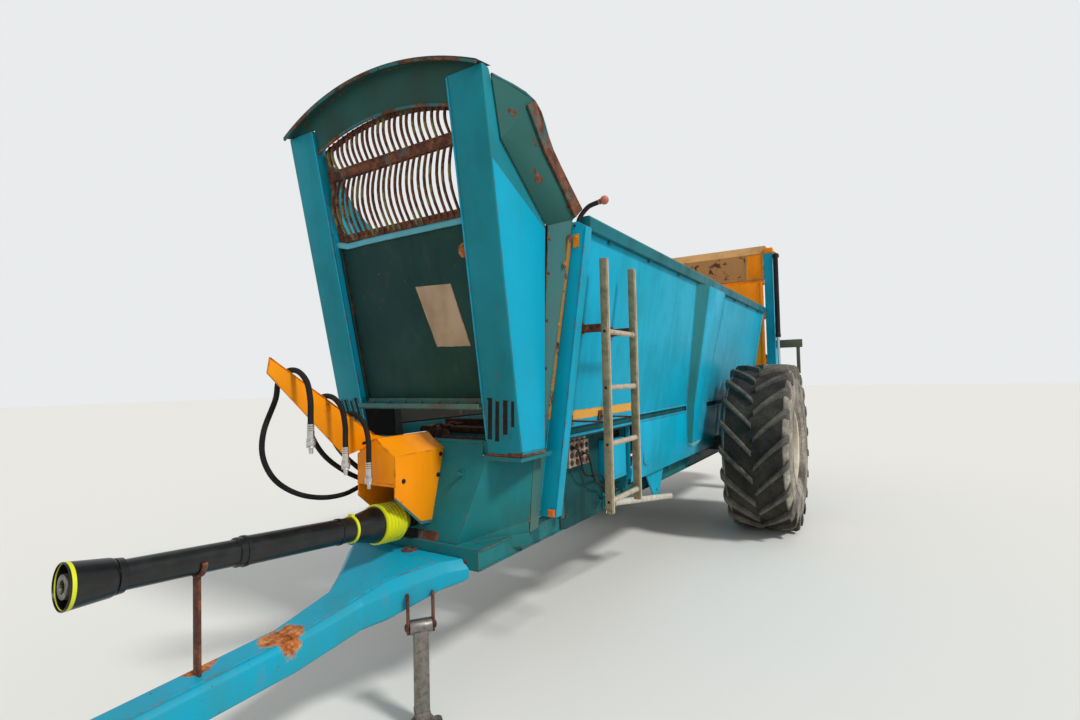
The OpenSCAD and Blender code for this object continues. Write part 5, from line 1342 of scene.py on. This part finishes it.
def make_valves():
    """The plate in the front bay with its valves, pipes, switch box and low pipe."""
    bm = bmesh.new()
    along_x(bm, [(581, 660), (640, 645), (1280, 645), (1340, 700), (1340, 1180), (581, 1180)], 450, 460)
    for y in (640, 1290):
        bolt(bm, (460, y, 720), (1, 0, 0), 12)
        bolt(bm, (460, y, 1150), (1, 0, 0), 12)
    finish(bm, "valve_plate", "shaded_enamel", stands_for="valve_block", round_mm=2.5)

    for y in VALVES:
        block(bm, 461, 512, y - 28, y + 28, 1006, 1150)
        block(bm, 461, 505, y - 24, y + 24, 1000, 1008)
        rod(bm, (486, y, 1148), (486, y, 1172), 19, 6)
        rod(bm, (486, y, 1172), (486, y, 1176), 10, 12)
    finish(bm, "valves", "valve_metal", stands_for="valve_block", round_mm=2)

    for y in VALVES:
        for z in (1030, 1072, 1116):
            rod(bm, (511, y, z), (520, y, z), 13, 6)
            rod(bm, (511, y, z), (516, y, z), 18, 18)
    block(bm, 461, 476, 601, 851, 1010, 1140)
    finish(bm, "valve_fittings", "dark_rust", stands_for="valve_block", round_mm=1, segments=1)

    for k, z in ((0, 1116), (2, 1072)):
        y = VALVES[k]
        pipe(bm, smooth_path([(514, y, z), (534, y + 2, z), (540, y + 40, z - 30),
                              (520, y + 150, 940 - k * 26), (505, 1010 + k * 14, 900 - k * 34),
                              (500, 1085, 850 - k * 36), (484, 1180, 800 - k * 30), (470, 1320, 790 - k * 26),
                              (468, 1396, 790 - k * 26)], 5), 6.5, 10)
        rod(bm, (514, y, z), (526, y, z), 10, 6)
    finish(bm, "valve_pipes", "dark_steel")

    # Bent steel pipe on the skirt behind the ladder, painted with the wall.
    pipe(bm, smooth_path([(558, 1440, 1150), (566, 1444, 1120), (570, 1500, 1080), (566, 1560, 1060),
                          (566, 1600, 960), (566, 1610, 900), (568, 1660, 880), (560, 1700, 880)], 4), 8, 10)
    finish(bm, "skirt_pipe", "bright_enamel")

    # Switch box with its raised lid, hinge and screws.
    block(bm, 461, 542, 1090, 1320, 850, 1110)
    block(bm, 542, 553, 1094, 1316, 856, 1104)
    block(bm, 552, 558, 1112, 1298, 876, 1084)
    for y in (1102, 1308):
        for z in (866, 1094):
            rod(bm, (553, y, z), (556, y, z), 6, 12)
    for y in (1130, 1200, 1270):
        rod(bm, (500, y, 850), (500, y, 838), 11, 6)
    finish(bm, "switch_box", "bright_enamel", stands_for="valve_block", round_mm=4,
           segments=3)

    start, end = Vector((545.3, 1106, 711)), Vector((545.3, 2200, 544))
    way = (end - start).normalized()
    rod(bm, start, end, 21, 28)
    rod(bm, start - way * 0.5, start + way * 26, 25, 28)
    rod(bm, end - way * 30, end, 24, 28)
    for f in (0.32, 0.66):
        at = start.lerp(end, f)
        rod(bm, at - way * 8, at + way * 8, 22.5, 28)
    finish(bm, "low_pipe", "pale_zinc", stands_for="valve_block", round_mm=1.2, segments=1)

    block(bm, 461, 558, 1126, 1134, 672, 742)
    block(bm, 461, 558, 1158, 1166, 666, 736)
    block(bm, 461, 470, 1120, 1172, 660, 760)
    # Triangular bracket with its bolt behind the pipe, off the sill.
    along_x(bm, [(1440, 742), (1620, 742), (1560, 650), (1500, 650)], 452, 464)
    bolt(bm, (464, 1530, 690), (1, 0, 0), 12)
    finish(bm, "pipe_brackets", "dull_shade_enamel", stands_for="valve_block", round_mm=1.5, segments=1)


# Wheels

LUG_H = 38
BARE_R = WHEEL_R - LUG_H


def tyre_place(side, across, turn, radius):
    """Point on a wheel at the track on one side, across its width and round its axle."""
    return (side * TRACK + across, AXLE_Y - radius * sin(turn), WHEEL_R + radius * cos(turn))


def crown(across):
    """How far the carcass drops below its crown, across the tread."""
    return 26 * (abs(across) / 270) ** 2.6


def make_wheel(side, tag, sizes):
    """One wheel: carcass with beads, the lugs of its tractor tread, and the dished rim with its hub."""
    wheel, tyre, rim = "wheel_" + tag, "tyre_" + tag, "rim_" + tag
    bm = bmesh.new()
    w = TYRE_W / 2
    hub = (side * TRACK, AXLE_Y, WHEEL_R)
    profile = [(-w * f, r) for f, r in ((0.74, 336), (0.86, 352), (0.97, 420), (1.0, 500), (0.99, 590),
                                        (0.965, 660), (0.93, 712), (0.86, 744))]
    tread = [(a, BARE_R - crown(a)) for a in (-225, -160, -80, 0, 80, 160, 225)]
    outline = profile + tread + [(-a, r) for a, r in reversed(profile)]
    outline += [(w * 0.66, 334), (0, 331), (-w * 0.66, 334)]
    turned(bm, outline, hub, "X", 96)
    for way in (-1, 1):
        # Rings moulded on the sidewall, and the rim guard by the bead.
        for r, out in ((372, 0.905), (452, 0.986), (640, 0.975)):
            x = way * w * out
            turned(bm, [(x - way * 6, r - 7), (x + way * 2.5, r - 3), (x + way * 2.5, r + 3),
                        (x - way * 6, r + 7)],
                   hub, "X", 96)
    finish(bm, "carcass_" + tag, "dusty_sunlit_wall_rubber", body=wheel, stands_for=tyre)

    band = [(a, BARE_R + 1.5 - crown(a)) for a in (-243, -225, -160, -80, 0, 80, 160, 225, 243)]
    turned(bm, band + [(a, r - 12) for a, r in reversed(band)], hub, "X", 96)
    finish(bm, "tread_" + tag, "tread_rubber", body=wheel, stands_for=tyre)

    lead = radians(20)
    for way in (-1, 1):
        for k in range(sizes.lugs):
            start = tau * (k + (0.5 if way > 0 else 0)) / sizes.lugs
            rings = []
            for across, width in ((8, 44), (60, 46), (130, 50), (200, 56), (255, 62), (282, 66)):
                turn = start - lead * (across / 270) ** 0.92
                low = BARE_R - crown(across) - 16
                high = WHEEL_R - 1 - crown(across) * 0.35
                if across > 260:
                    low, high = 690, WHEEL_R - 26
                rings.append([tyre_place(side, way * across, turn + da / rr, rr)
                              for da, rr in ((-width * 0.62, low), (-width * 0.42, high),
                                             (width * 0.42, high), (width * 0.62, low))])
            shoulder = start - lead * 1.08
            rings.append([tyre_place(side, way * 290, shoulder + da / rr, rr)
                          for da, rr in ((-36, 655), (-30, 735), (30, 735), (36, 655))])
            loft(bm, rings)
    finish(bm, "lugs_" + tag, "lug_rubber", body=wheel, stands_for=tyre, round_mm=4.5)

    # Rim: flanges, bead seats and well, then the dished disc.
    outline = [(-w * 0.80, 332), (-w * 0.84, 352), (-w * 0.80, 356), (-w * 0.74, 338), (-w * 0.5, 326),
               (-80, 322), (-60, 296), (60, 296), (80, 322), (w * 0.5, 326), (w * 0.74, 338), (w * 0.80, 356),
               (w * 0.84, 352), (w * 0.80, 330), (w * 0.5, 318), (84, 314), (64, 288), (-64, 288), (-84, 314),
               (-w * 0.5, 318)]
    turned(bm, outline, hub, "X", 96)
    finish(bm, "rim_band_" + tag, "cream_enamel", body=wheel, stands_for=rim, round_mm=1.5)

    for outline, steps in (
            (((60, 292), (66, 286), (40, 240), (18, 205), (24, 190), (26, 118), (16, 118), (14, 188),
              (8, 202), (30, 244), (50, 290)), 72),
            (((20, 121), (20, 30), (66, 40), (96, 74), (96, 82), (60, 88), (52, 120)), 48),
            (((94, 0.1), (94, 76), (104, 72), (118, 60), (121, 0.1)), 40)):
        turned(bm, [(side * a, r) for a, r in outline], hub, "X", steps)
    finish(bm, "rim_disc_" + tag, "cream_enamel", body=wheel, stands_for=rim, round_mm=2)

    for k in range(sizes.studs):
        a = tau * k / sizes.studs
        y, z = AXLE_Y + 167.5 * cos(a), WHEEL_R + 167.5 * sin(a)
        x = side * TRACK
        rod(bm, (x + side * 22, y, z), (x + side * 62, y, z), 10.5, 14)
        rod(bm, (x + side * 24, y, z), (x + side * 44, y, z), 19, 6)
        rod(bm, (x + side * 22, y, z), (x + side * 28, y, z), 23, 20)
    # Valve stem in the rim's well.
    y, z = AXLE_Y + 322 * cos(0.5), WHEEL_R + 322 * sin(0.5)
    rod(bm, (side * (TRACK + 110), y, z), (side * (TRACK + 150), y - 6, z - 3), 5, 10)
    finish(bm, "studs_" + tag, "worn_steel", body=wheel, stands_for=rim, round_mm=1.2, segments=1)


# Rear

BARREL_X = 944
BARREL_Z = (1960, 3020)
DOOR_MID = 5285
BEATER_X = 415
FLIGHT_Z = (1065, 2645)
FLIGHT_TURN = radians(900)
REAR_HOOD_HALF = 798


def make_chassis_details():
    """Caps, flanges, gussets and bolts on the chassis, the axle and the rear frame."""
    bm = bmesh.new()
    for side in (-1, 1):
        block(bm, side * 797, side * 903, POST_Y - 3, POST_Y + 123, 3040, 3110)
    finish(bm, "post_caps", "orange_enamel", round_mm=4)

    for side in (-1, 1):
        for z in (905, 1120, 1640, 2160, 2680):
            bolt(bm, (side * 850, 5440, z), (0, 1, 0), 12)
        for y in (3600, 3750):
            for x in (380, 450):
                rod(bm, (side * x, y, 730), (side * x, y, 742), 12, 6)
                rod(bm, (side * x, y, 862), (side * x, y, 884), 11, 6)
        block(bm, side * 362, side * 468, 3595, 3755, 862, 872)
    finish(bm, "frame_bolts", "dark_steel", round_mm=1.5, segments=1)

    for side in (-1, 1):
        for y in (1020, 1980, 2920, 4460):
            slab(bm, [(side * 449, y, 737), (side * 449, y, 652), (side * 508, y, 742)], (0, 8, 0))
        block(bm, side * 449, side * 456, -150, 5230, 733, 742)
        block(bm, side * 449, side * 456, -150, 5230, 646, 655)
    finish(bm, "sill_flanges", "dull_shade_enamel", round_mm=1.5, segments=1)


def make_door():
    """The lifting rear door of ribbed sheet, its arms, the cylinders and their pipes."""
    bm = bmesh.new()
    block(bm, -778, 778, 5276, 5284, 1246, 2674)
    for x in (-785, -268, 228, 745):
        block(bm, x, x + 40, 5266, 5304, 1240, 2680)
    for z in (1240, 1590, 1940, 2290, 2640):
        block(bm, -785, 785, 5284, 5304.5, z, z + 40)
    finish(bm, "door_sheet", "orange_enamel", body="door", stands_for="rear_door", round_mm=3)

    for side in (-1, 1):
        block(bm, side * 725, side * 785, 5265, 5305, 1040, 1250)
        block(bm, side * 725, side * 974, 5265, 5305, 1040, 1090)
        slab(bm, [(side * 785, 5281, 1088), (side * 785, 5281, 1170), (side * 890, 5281, 1088)], (0, 8, 0))
        rod(bm, (side * BARREL_X, 5258, 1066), (side * BARREL_X, 5312, 1066), 13, 18)
    finish(bm, "door_arms", "orange_enamel", body="door", stands_for="rear_door", round_mm=4)

    for side in (-1, 1):
        x = side * BARREL_X
        low, high = BARREL_Z
        turned(bm, [(low, 18.6), (low, 30), (low + 4, 32), (low + 44, 32), (low + 48, 29), (low + 60, 29),
                    (high - 44, 29), (high - 40, 32), (high - 3, 32), (high, 28), (high, 0.1),
                    (high - 30, 0.1), (high - 34, 24.6), (low + 20, 24.6), (low + 18, 18.6)],
               (x, DOOR_MID, 0), "Z", 40)
        for z in (low + 30, high - 24):
            rod(bm, (x, DOOR_MID + 28, z), (x, DOOR_MID + 44, z), 9, 6)
        block(bm, side * 900, side * 974, POST_Y, POST_Y + 60, 2980, 3020)
        block(bm, side * (BARREL_X - 25), side * (BARREL_X + 25), DOOR_MID, POST_Y + 1, 3000, 3020)
    finish(bm, "cylinder_barrels", "black_enamel", stands_for="door_barrels", round_mm=1.2, segments=1)

    for side in (-1, 1):
        x = side * BARREL_X
        for z0, z1 in ((1990, 2200), (2996, 3040)):
            route = [(x, DOOR_MID + 44, z0), (x, DOOR_MID + 70, z0 + 6),
                     (x - side * 20, DOOR_MID + 92, z0 + 60), (x - side * 60, DOOR_MID + 100, z1)]
            pipe(bm, smooth_path(route, 4), 7, 10)
    finish(bm, "cylinder_pipes", "worn_steel")


def flight_place(side, f):
    """Point on a beater's axle at a share of its flight's height, and the ways out and across there."""
    a = -side * FLIGHT_TURN * f
    low, high = FLIGHT_Z
    at = Vector((side * BEATER_X, BEATER_Y, low + (high - low) * f))
    return at, Vector((cos(a), sin(a), 0)), Vector((-sin(a), cos(a), 0))


def make_beater(side, tag):
    """One upright beater: tube, disc with paddles, twisted flight and its bolted knives."""
    beater = "beater_" + tag
    foot = Vector((side * BEATER_X, BEATER_Y, 1005))
    bm = bmesh.new()
    turned(bm, [(0, 31), (0, 392), (3, 395), (9, 395), (12, 392), (12, 97), (16, 95), (1688, 95), (1700, 88),
                (1700, 30.2), (1757, 29.6), (1757, 0.1), (66, 0.1), (66, 31)], foot, "Z", 56)
    rings = []
    for k in range(61):
        at, out, across = flight_place(side, k / 60)
        rings.append([at + out * 80 - across * 5, at + out * 318 - across * 5, at + out * 318 + across * 5,
                      at + out * 80 + across * 5])
    loft(bm, rings)
    up = Vector((0, 0, 1))
    at = foot + up * 12
    for k in range(4):
        a = tau * k / 4 + 0.4
        out, across = Vector((cos(a), sin(a), 0)), Vector((-sin(a), cos(a), 0))
        slab(bm, [at + out * 120, at + out * 385, at + out * 385 + up * 52, at + out * 150 + up * 62],
             across * 8)
    finish(bm, "beater_flight_" + tag, "worn_orange", body=beater + "_rotor", stands_for=beater, round_mm=1.5,
           segments=1)

    for k in range(20):
        at, out, across = flight_place(side, (k + 0.5) / 20)
        root = at + across * 6
        slab(bm, [root + out * 262 - up * 26, root + out * 336 - up * 20, root + out * 339 + up * 4,
                  root + out * 320 + up * 34, root + out * 262 + up * 26], across * 9)
        for dz in (-12, 12):
            bolt(bm, at + out * 284 + across * 15 + up * dz, across, 8)
    finish(bm, "beater_knives_" + tag, "worn_steel", body=beater + "_rotor", stands_for=beater, round_mm=1,
           segments=1)


def make_gearboxes():
    """The cast gearboxes under the beaters."""
    bm = bmesh.new()
    for side in (-1, 1):
        x = side * BEATER_X
        ring = [(-84, -110), (84, -110), (110, -84), (110, 84), (84, 110), (-84, 110), (-110, 84),
                (-110, -84)]
        slab(bm, [(x + a, BEATER_Y + b, 850.3) for a, b in ring], (0, 0, 112))
        rod(bm, (x, BEATER_Y, 960), (x, BEATER_Y, 980), 84, 36, 70)
        rod(bm, (x, BEATER_Y, 978), (x, BEATER_Y, 1006), 29, 28)
        for k in range(8):
            a = tau * k / 8
            bolt(bm, (x + 96 * cos(a), BEATER_Y + 96 * sin(a), 962), (0, 0, 1), 8)
        for k in range(-2, 3):
            block(bm, x + k * 38 - 4, x + k * 38 + 4, BEATER_Y + 108, BEATER_Y + 118, 868, 946)
    finish(bm, "beater_gear_castings", "dark_steel", stands_for="beater_gearboxes", round_mm=4)


def make_rear_hood():
    """The orange hood over the beaters with its rusted deflector panel."""
    bm = bmesh.new()
    inner, y0 = REAR_HOOD_HALF, POST_Y
    outline = [(y0, 2712), (y0 + 8, 2712), (y0 + 8, HOOD_Z - 134), (y0 + 128, HOOD_Z - 9),
               (REAR_END, HOOD_Z - 9), (REAR_END, HOOD_Z), (y0 + 125, HOOD_Z), (y0, HOOD_Z - 130)]
    along_x(bm, outline, -inner, inner)
    block(bm, -inner, inner, y0, y0 + 8, 2640, 2713)
    side_plate = [(y0, 2712), (REAR_END, DOOR_TOP + 230), (REAR_END, HOOD_Z), (y0 + 125, HOOD_Z),
                  (y0, HOOD_Z - 130)]
    for x in (-inner, inner - 8):
        along_x(bm, side_plate, x, x + 8)
    block(bm, 9 - inner, inner - 9, BEATER_Y - 60, BEATER_Y + 60, HOOD_Z - 110, HOOD_Z - 9)
    for side in (-1, 1):
        rod(bm, (side * BEATER_X, BEATER_Y, 2731), (side * BEATER_X, BEATER_Y, HOOD_Z - 100), 54, 32)
    block(bm, 9 - inner, inner - 9, REAR_END - 40, REAR_END - 0.5, HOOD_Z - 46, HOOD_Z - 10)
    finish(bm, "rear_hood_sheets", "orange_enamel", stands_for="rear_hood", round_mm=2.5)

    # Frame bars and joint strips standing on the hood's face.
    for x in (571, 773):
        block(bm, x, x + 25, y0 - 9, y0 + 1, 2714, HOOD_Z - 132)
    block(bm, -inner, inner, y0 - 8, y0 + 1, 2714, 2738)
    finish(bm, "rear_hood_bars", "tan_enamel", round_mm=2, segments=1)

    block(bm, -796, 571, y0 - 4, y0 + 1, 2739, HOOD_Z - 133)
    for x in (-460, -120, 220):
        pipe(bm, [(x, y0 - 3, 2742), (x, y0 - 3, HOOD_Z - 138)], 4, 6)
    finish(bm, "deflector_panel", "rusty_panel", round_mm=1.5, segments=1)

    slab(bm, [(-790, y0 - 1, HOOD_Z - 128), (790, y0 - 1, HOOD_Z - 128), (790, y0 + 121, HOOD_Z - 3),
              (-790, y0 + 121, HOOD_Z - 3)], (0, -3, 2.8))
    finish(bm, "hood_slope", "tan_enamel", round_mm=0.8, segments=1)


def make_lamps():
    """Rear lamp boards on their posts, with three-chamber lamps."""
    bm = bmesh.new()
    for side in (-1, 1):
        block(bm, side * 900.5, side * 1200, 5412, 5436, 1830, 1930)
        block(bm, side * 900.5, side * 1200, 5410, 5414, 1834, 1926)
        block(bm, side * 1130, side * 1170, 5414, 5436, 1502, 1832)
        for x in (930, 1010):
            bolt(bm, (side * x, 5412, 1880), (0, -1, 0), 10)
    finish(bm, "lamp_boards", "weathered_board", stands_for="rear_lamps", round_mm=3)

    for side in (-1, 1):
        block(bm, side * 1020, side * 1190, 5436, 5462, 1838, 1922)
    finish(bm, "lamp_bodies", "guard_plastic", stands_for="rear_lamps", round_mm=4)

    for name, coat, x0, x1 in (("tail_lenses", "red_lens", 1024, 1130),
                               ("turn_lenses", "amber_lens", 1132, 1186)):
        for side in (-1, 1):
            block(bm, side * x0, side * x1, 5460, 5482, 1843, 1917)
            for k in range(8):
                z = 1848 + k * 9
                block(bm, side * (x0 + 3), side * (x1 - 3), 5481, 5484, z, z + 5)
        finish(bm, name, coat, stands_for="rear_lamps", round_mm=1.5, segments=1)


# Floor chain

CHAIN_Z = 1155
CHAIN_R = 86
CHAIN_Y = (410, 5120)
STRANDS = (-300, 300)
LINK = 62
SLATS = 11


def chain_place(s):
    """(y, z, slope) at distance s round the chain's loop, from the front of the top run."""
    y0, y1 = CHAIN_Y
    run, turn = y1 - y0, pi * CHAIN_R
    s %= 2 * (run + turn)
    if s < run:
        return y0 + s, CHAIN_Z + CHAIN_R, 0.0
    if s < run + turn:
        a = (s - run) / CHAIN_R
        return y1 + CHAIN_R * sin(a), CHAIN_Z + CHAIN_R * cos(a), -a
    if s < 2 * run + turn:
        return y1 - (s - run - turn), CHAIN_Z - CHAIN_R, -pi
    a = (s - 2 * run - turn) / CHAIN_R
    return y0 - CHAIN_R * sin(a), CHAIN_Z - CHAIN_R * cos(a), -pi - a


def make_chain():
    """The floor chain's two strands of round links and its channel slats."""
    y0, y1 = CHAIN_Y
    whole = 2 * (y1 - y0 + pi * CHAIN_R)
    count = 2 * round(whole / LINK / 2)
    step = whole / count
    bm = bmesh.new()
    reach = step / 2 + 9
    for x in STRANDS:
        for k in range(count):
            y, z, slope = chain_place(k * step)
            flat = k % 2
            wide = 17 if flat else 12
            oval = [(wide, reach - 18), (wide * 0.6, reach - 3), (-wide * 0.6, reach - 3),
                    (-wide, reach - 18), (-wide, 18 - reach), (-wide * 0.6, 3 - reach),
                    (wide * 0.6, 3 - reach), (wide, 18 - reach)]
            points = [((a, b, 0) if flat else (0, b, a)) for a, b in oval]
            verts = pipe(bm, points + points[:1], 5.5, 5)
            placed(bm, verts, Matrix.Translation((x, y, z)) @ Matrix.Rotation(slope, 4, "X"))
    finish(bm, "chain_links", "dark_rust", stands_for="floor_chain")

    pitch = (y1 - y0) / SLATS
    for i in range(SLATS):
        y = y0 + (i + 0.5) * pitch
        for low, way in ((FLOOR_Z + 1, 1), (CHAIN_Z - CHAIN_R + 11, -1)):
            ring = [(y, low), (y + 45, low), (y + 45, low + way * 37), (y + 39, low + way * 37),
                    (y + 37, low + way * 8), (y + 8, low + way * 8), (y + 6, low + way * 37),
                    (y, low + way * 37)]
            along_x(bm, ring, -440, 440)
            for x in STRANDS:
                block(bm, x - 34, x + 34, y + 9, y + 36, low + way * 8, low + way * 16)
                for dx in (-24, 24):
                    rod(bm, (x + dx, y + 22, low + way * 14), (x + dx, y + 22, low + way * 26), 8, 6)
    finish(bm, "chain_slats", "dark_rust", stands_for="floor_chain", round_mm=1.5, segments=1)


# Add-on

def colour_of(name, hex_colour, description):
    """One colour setting, kept as the linear colour that shaders take."""
    return FloatVectorProperty(name=name, description=description, subtype="COLOR", size=3, min=0, max=1,
                               default=linear(hex_colour)[:3])


class SpreaderColours(bpy.types.PropertyGroup):
    turquoise: colour_of("Turquoise", "#00a4c6", "Fresh enamel of the tub, posts and pilasters")
    orange: colour_of("Orange", "#f48c00", "Enamel of the guard, the carrier arm, the door and the rear hood")
    stripe: colour_of("Stripe", "#dfa344", "Paint of the stripe on the side walls")
    rim: colour_of("Rims", "#dcd4c2", "Enamel of the wheel rims")
    cone: colour_of("Shaft cone", "#d2d406", "Plastic of the drive shaft's ribbed cone and clips")


class SpreaderSizes(bpy.types.PropertyGroup):
    hose: FloatProperty(name="Hose diameter", description="Outer diameter of a hydraulic hose",
                        default=HOSE_D * METRES, min=0.018, max=0.026, precision=3, subtype="DISTANCE",
                        unit="LENGTH")
    slats: IntProperty(name="Grille slats", description="Number of upright slats in the wind grille",
                       default=22, min=14, max=28)
    boards: IntProperty(name="Floor boards", description="Number of sheets that the tub's floor is laid with",
                        default=7, min=4, max=12)
    lugs: IntProperty(name="Tyre lugs", description="Number of lugs on each half of a tyre's tread",
                      default=20, min=14, max=24)
    studs: IntProperty(name="Wheel studs", description="Number of studs on each wheel", default=10, min=6,
                       max=12)


class SPREADER_OT_stage(bpy.types.Operator):
    """Set up the camera, the pale floor and the soft light"""
    bl_idname = "spreader.stage"
    bl_label = "Stage"

    def execute(self, context):
        make_camera()
        make_stage()
        return {"FINISHED"}


class SPREADER_OT_finishes(bpy.types.Operator):
    """Make every finish and dress the carried-over parts of the frame"""
    bl_idname = "spreader.finishes"
    bl_label = "Finishes"

    def execute(self, context):
        make_materials(context.scene.spreader_colours)
        dress_nodes()
        return {"FINISHED"}


class SPREADER_OT_hoses(bpy.types.Operator):
    """Add the three hydraulic hoses with their ends"""
    bl_idname = "spreader.hoses"
    bl_label = "Hoses"

    def execute(self, context):
        make_hoses(context.scene.spreader_sizes)
        return {"FINISHED"}


class SPREADER_OT_tub(bpy.types.Operator):
    """Add the tub's walls, rails, skirts, pilasters and floor"""
    bl_idname = "spreader.tub"
    bl_label = "Tub"

    def execute(self, context):
        make_tub(context.scene.spreader_sizes)
        return {"FINISHED"}


class SPREADER_OT_front_panel(bpy.types.Operator):
    """Add the leaning columns, the front wall, the apron and the front posts"""
    bl_idname = "spreader.front_panel"
    bl_label = "Front panel"

    def execute(self, context):
        make_columns()
        make_front_wall()
        make_apron()
        make_posts()
        return {"FINISHED"}


class SPREADER_OT_wind_guard(bpy.types.Operator):
    """Add the grille, the arched hood over it and the wings beside it"""
    bl_idname = "spreader.wind_guard"
    bl_label = "Grille, hood and wings"

    def execute(self, context):
        make_grille(context.scene.spreader_sizes)
        make_hood()
        make_wings()
        return {"FINISHED"}


class SPREADER_OT_drawbar(bpy.types.Operator):
    """Add the drawbar with its towing ring, and the parking leg"""
    bl_idname = "spreader.drawbar"
    bl_label = "Drawbar and parking leg"

    def execute(self, context):
        make_drawbar()
        make_leg()
        return {"FINISHED"}


class SPREADER_OT_drive(bpy.types.Operator):
    """Add the orange guard, the drive shaft, the gearboxes, the shaft's rest and the carrier arm"""
    bl_idname = "spreader.drive"
    bl_label = "Drive"

    def execute(self, context):
        make_guard()
        make_shaft()
        make_drive_parts()
        make_gearboxes()
        return {"FINISHED"}


class SPREADER_OT_bay(bpy.types.Operator):
    """Add the ladder and the valves behind it"""
    bl_idname = "spreader.bay"
    bl_label = "Ladder and valves"

    def execute(self, context):
        make_ladder()
        make_valves()
        return {"FINISHED"}


class SPREADER_OT_wheels(bpy.types.Operator):
    """Add both wheels with their tyres"""
    bl_idname = "spreader.wheels"
    bl_label = "Wheels"

    def execute(self, context):
        for side, tag in ((1, "left"), (-1, "right")):
            make_wheel(side, tag, context.scene.spreader_sizes)
        return {"FINISHED"}


class SPREADER_OT_beaters(bpy.types.Operator):
    """Add both upright beaters with their flights and knives"""
    bl_idname = "spreader.beaters"
    bl_label = "Beaters"

    def execute(self, context):
        for side, tag in ((1, "left"), (-1, "right")):
            make_beater(side, tag)
        return {"FINISHED"}


class SPREADER_OT_rear(bpy.types.Operator):
    """Add the lifting door with its cylinders, the rear hood and the lamps"""
    bl_idname = "spreader.rear"
    bl_label = "Rear door, hood and lamps"

    def execute(self, context):
        make_door()
        make_rear_hood()
        make_lamps()
        return {"FINISHED"}


class SPREADER_OT_chassis(bpy.types.Operator):
    """Add the chassis' flanges, caps and bolts, and the floor chain"""
    bl_idname = "spreader.chassis"
    bl_label = "Chassis details and floor chain"

    def execute(self, context):
        make_chassis_details()
        make_chain()
        return {"FINISHED"}


STEPS = (
    SPREADER_OT_stage, SPREADER_OT_finishes, SPREADER_OT_hoses, SPREADER_OT_tub, SPREADER_OT_front_panel,
    SPREADER_OT_wind_guard, SPREADER_OT_drawbar, SPREADER_OT_drive, SPREADER_OT_bay, SPREADER_OT_wheels,
    SPREADER_OT_beaters, SPREADER_OT_rear, SPREADER_OT_chassis,
)


class VIEW3D_PT_spreader(bpy.types.Panel):
    """The spreader's colours and sizes, and the steps that build it"""
    bl_label = "Manure spreader"
    bl_space_type = "VIEW_3D"
    bl_region_type = "UI"
    bl_category = "Spreader"

    def draw(self, context):
        scene = context.scene
        for group in (scene.spreader_colours, scene.spreader_sizes):
            column = self.layout.column(align=True)
            for name in group.__annotations__:
                column.prop(group, name)
        for step in STEPS:
            self.layout.operator(step.bl_idname)


CLASSES = (SpreaderColours, SpreaderSizes, *STEPS, VIEW3D_PT_spreader)


def register():
    for item in CLASSES:
        bpy.utils.register_class(item)
    bpy.types.Scene.spreader_colours = PointerProperty(type=SpreaderColours)
    bpy.types.Scene.spreader_sizes = PointerProperty(type=SpreaderSizes)


def unregister():
    del bpy.types.Scene.spreader_sizes
    del bpy.types.Scene.spreader_colours
    for item in reversed(CLASSES):
        bpy.utils.unregister_class(item)


def main():
    register()
    bpy.ops.spreader.stage()
    bpy.ops.spreader.finishes()
    bpy.ops.spreader.hoses()
    bpy.ops.spreader.tub()
    bpy.ops.spreader.front_panel()
    bpy.ops.spreader.wind_guard()
    bpy.ops.spreader.drawbar()
    bpy.ops.spreader.drive()
    bpy.ops.spreader.bay()
    bpy.ops.spreader.wheels()
    bpy.ops.spreader.beaters()
    bpy.ops.spreader.rear()
    bpy.ops.spreader.chassis()


if __name__ == "__main__":
    main()
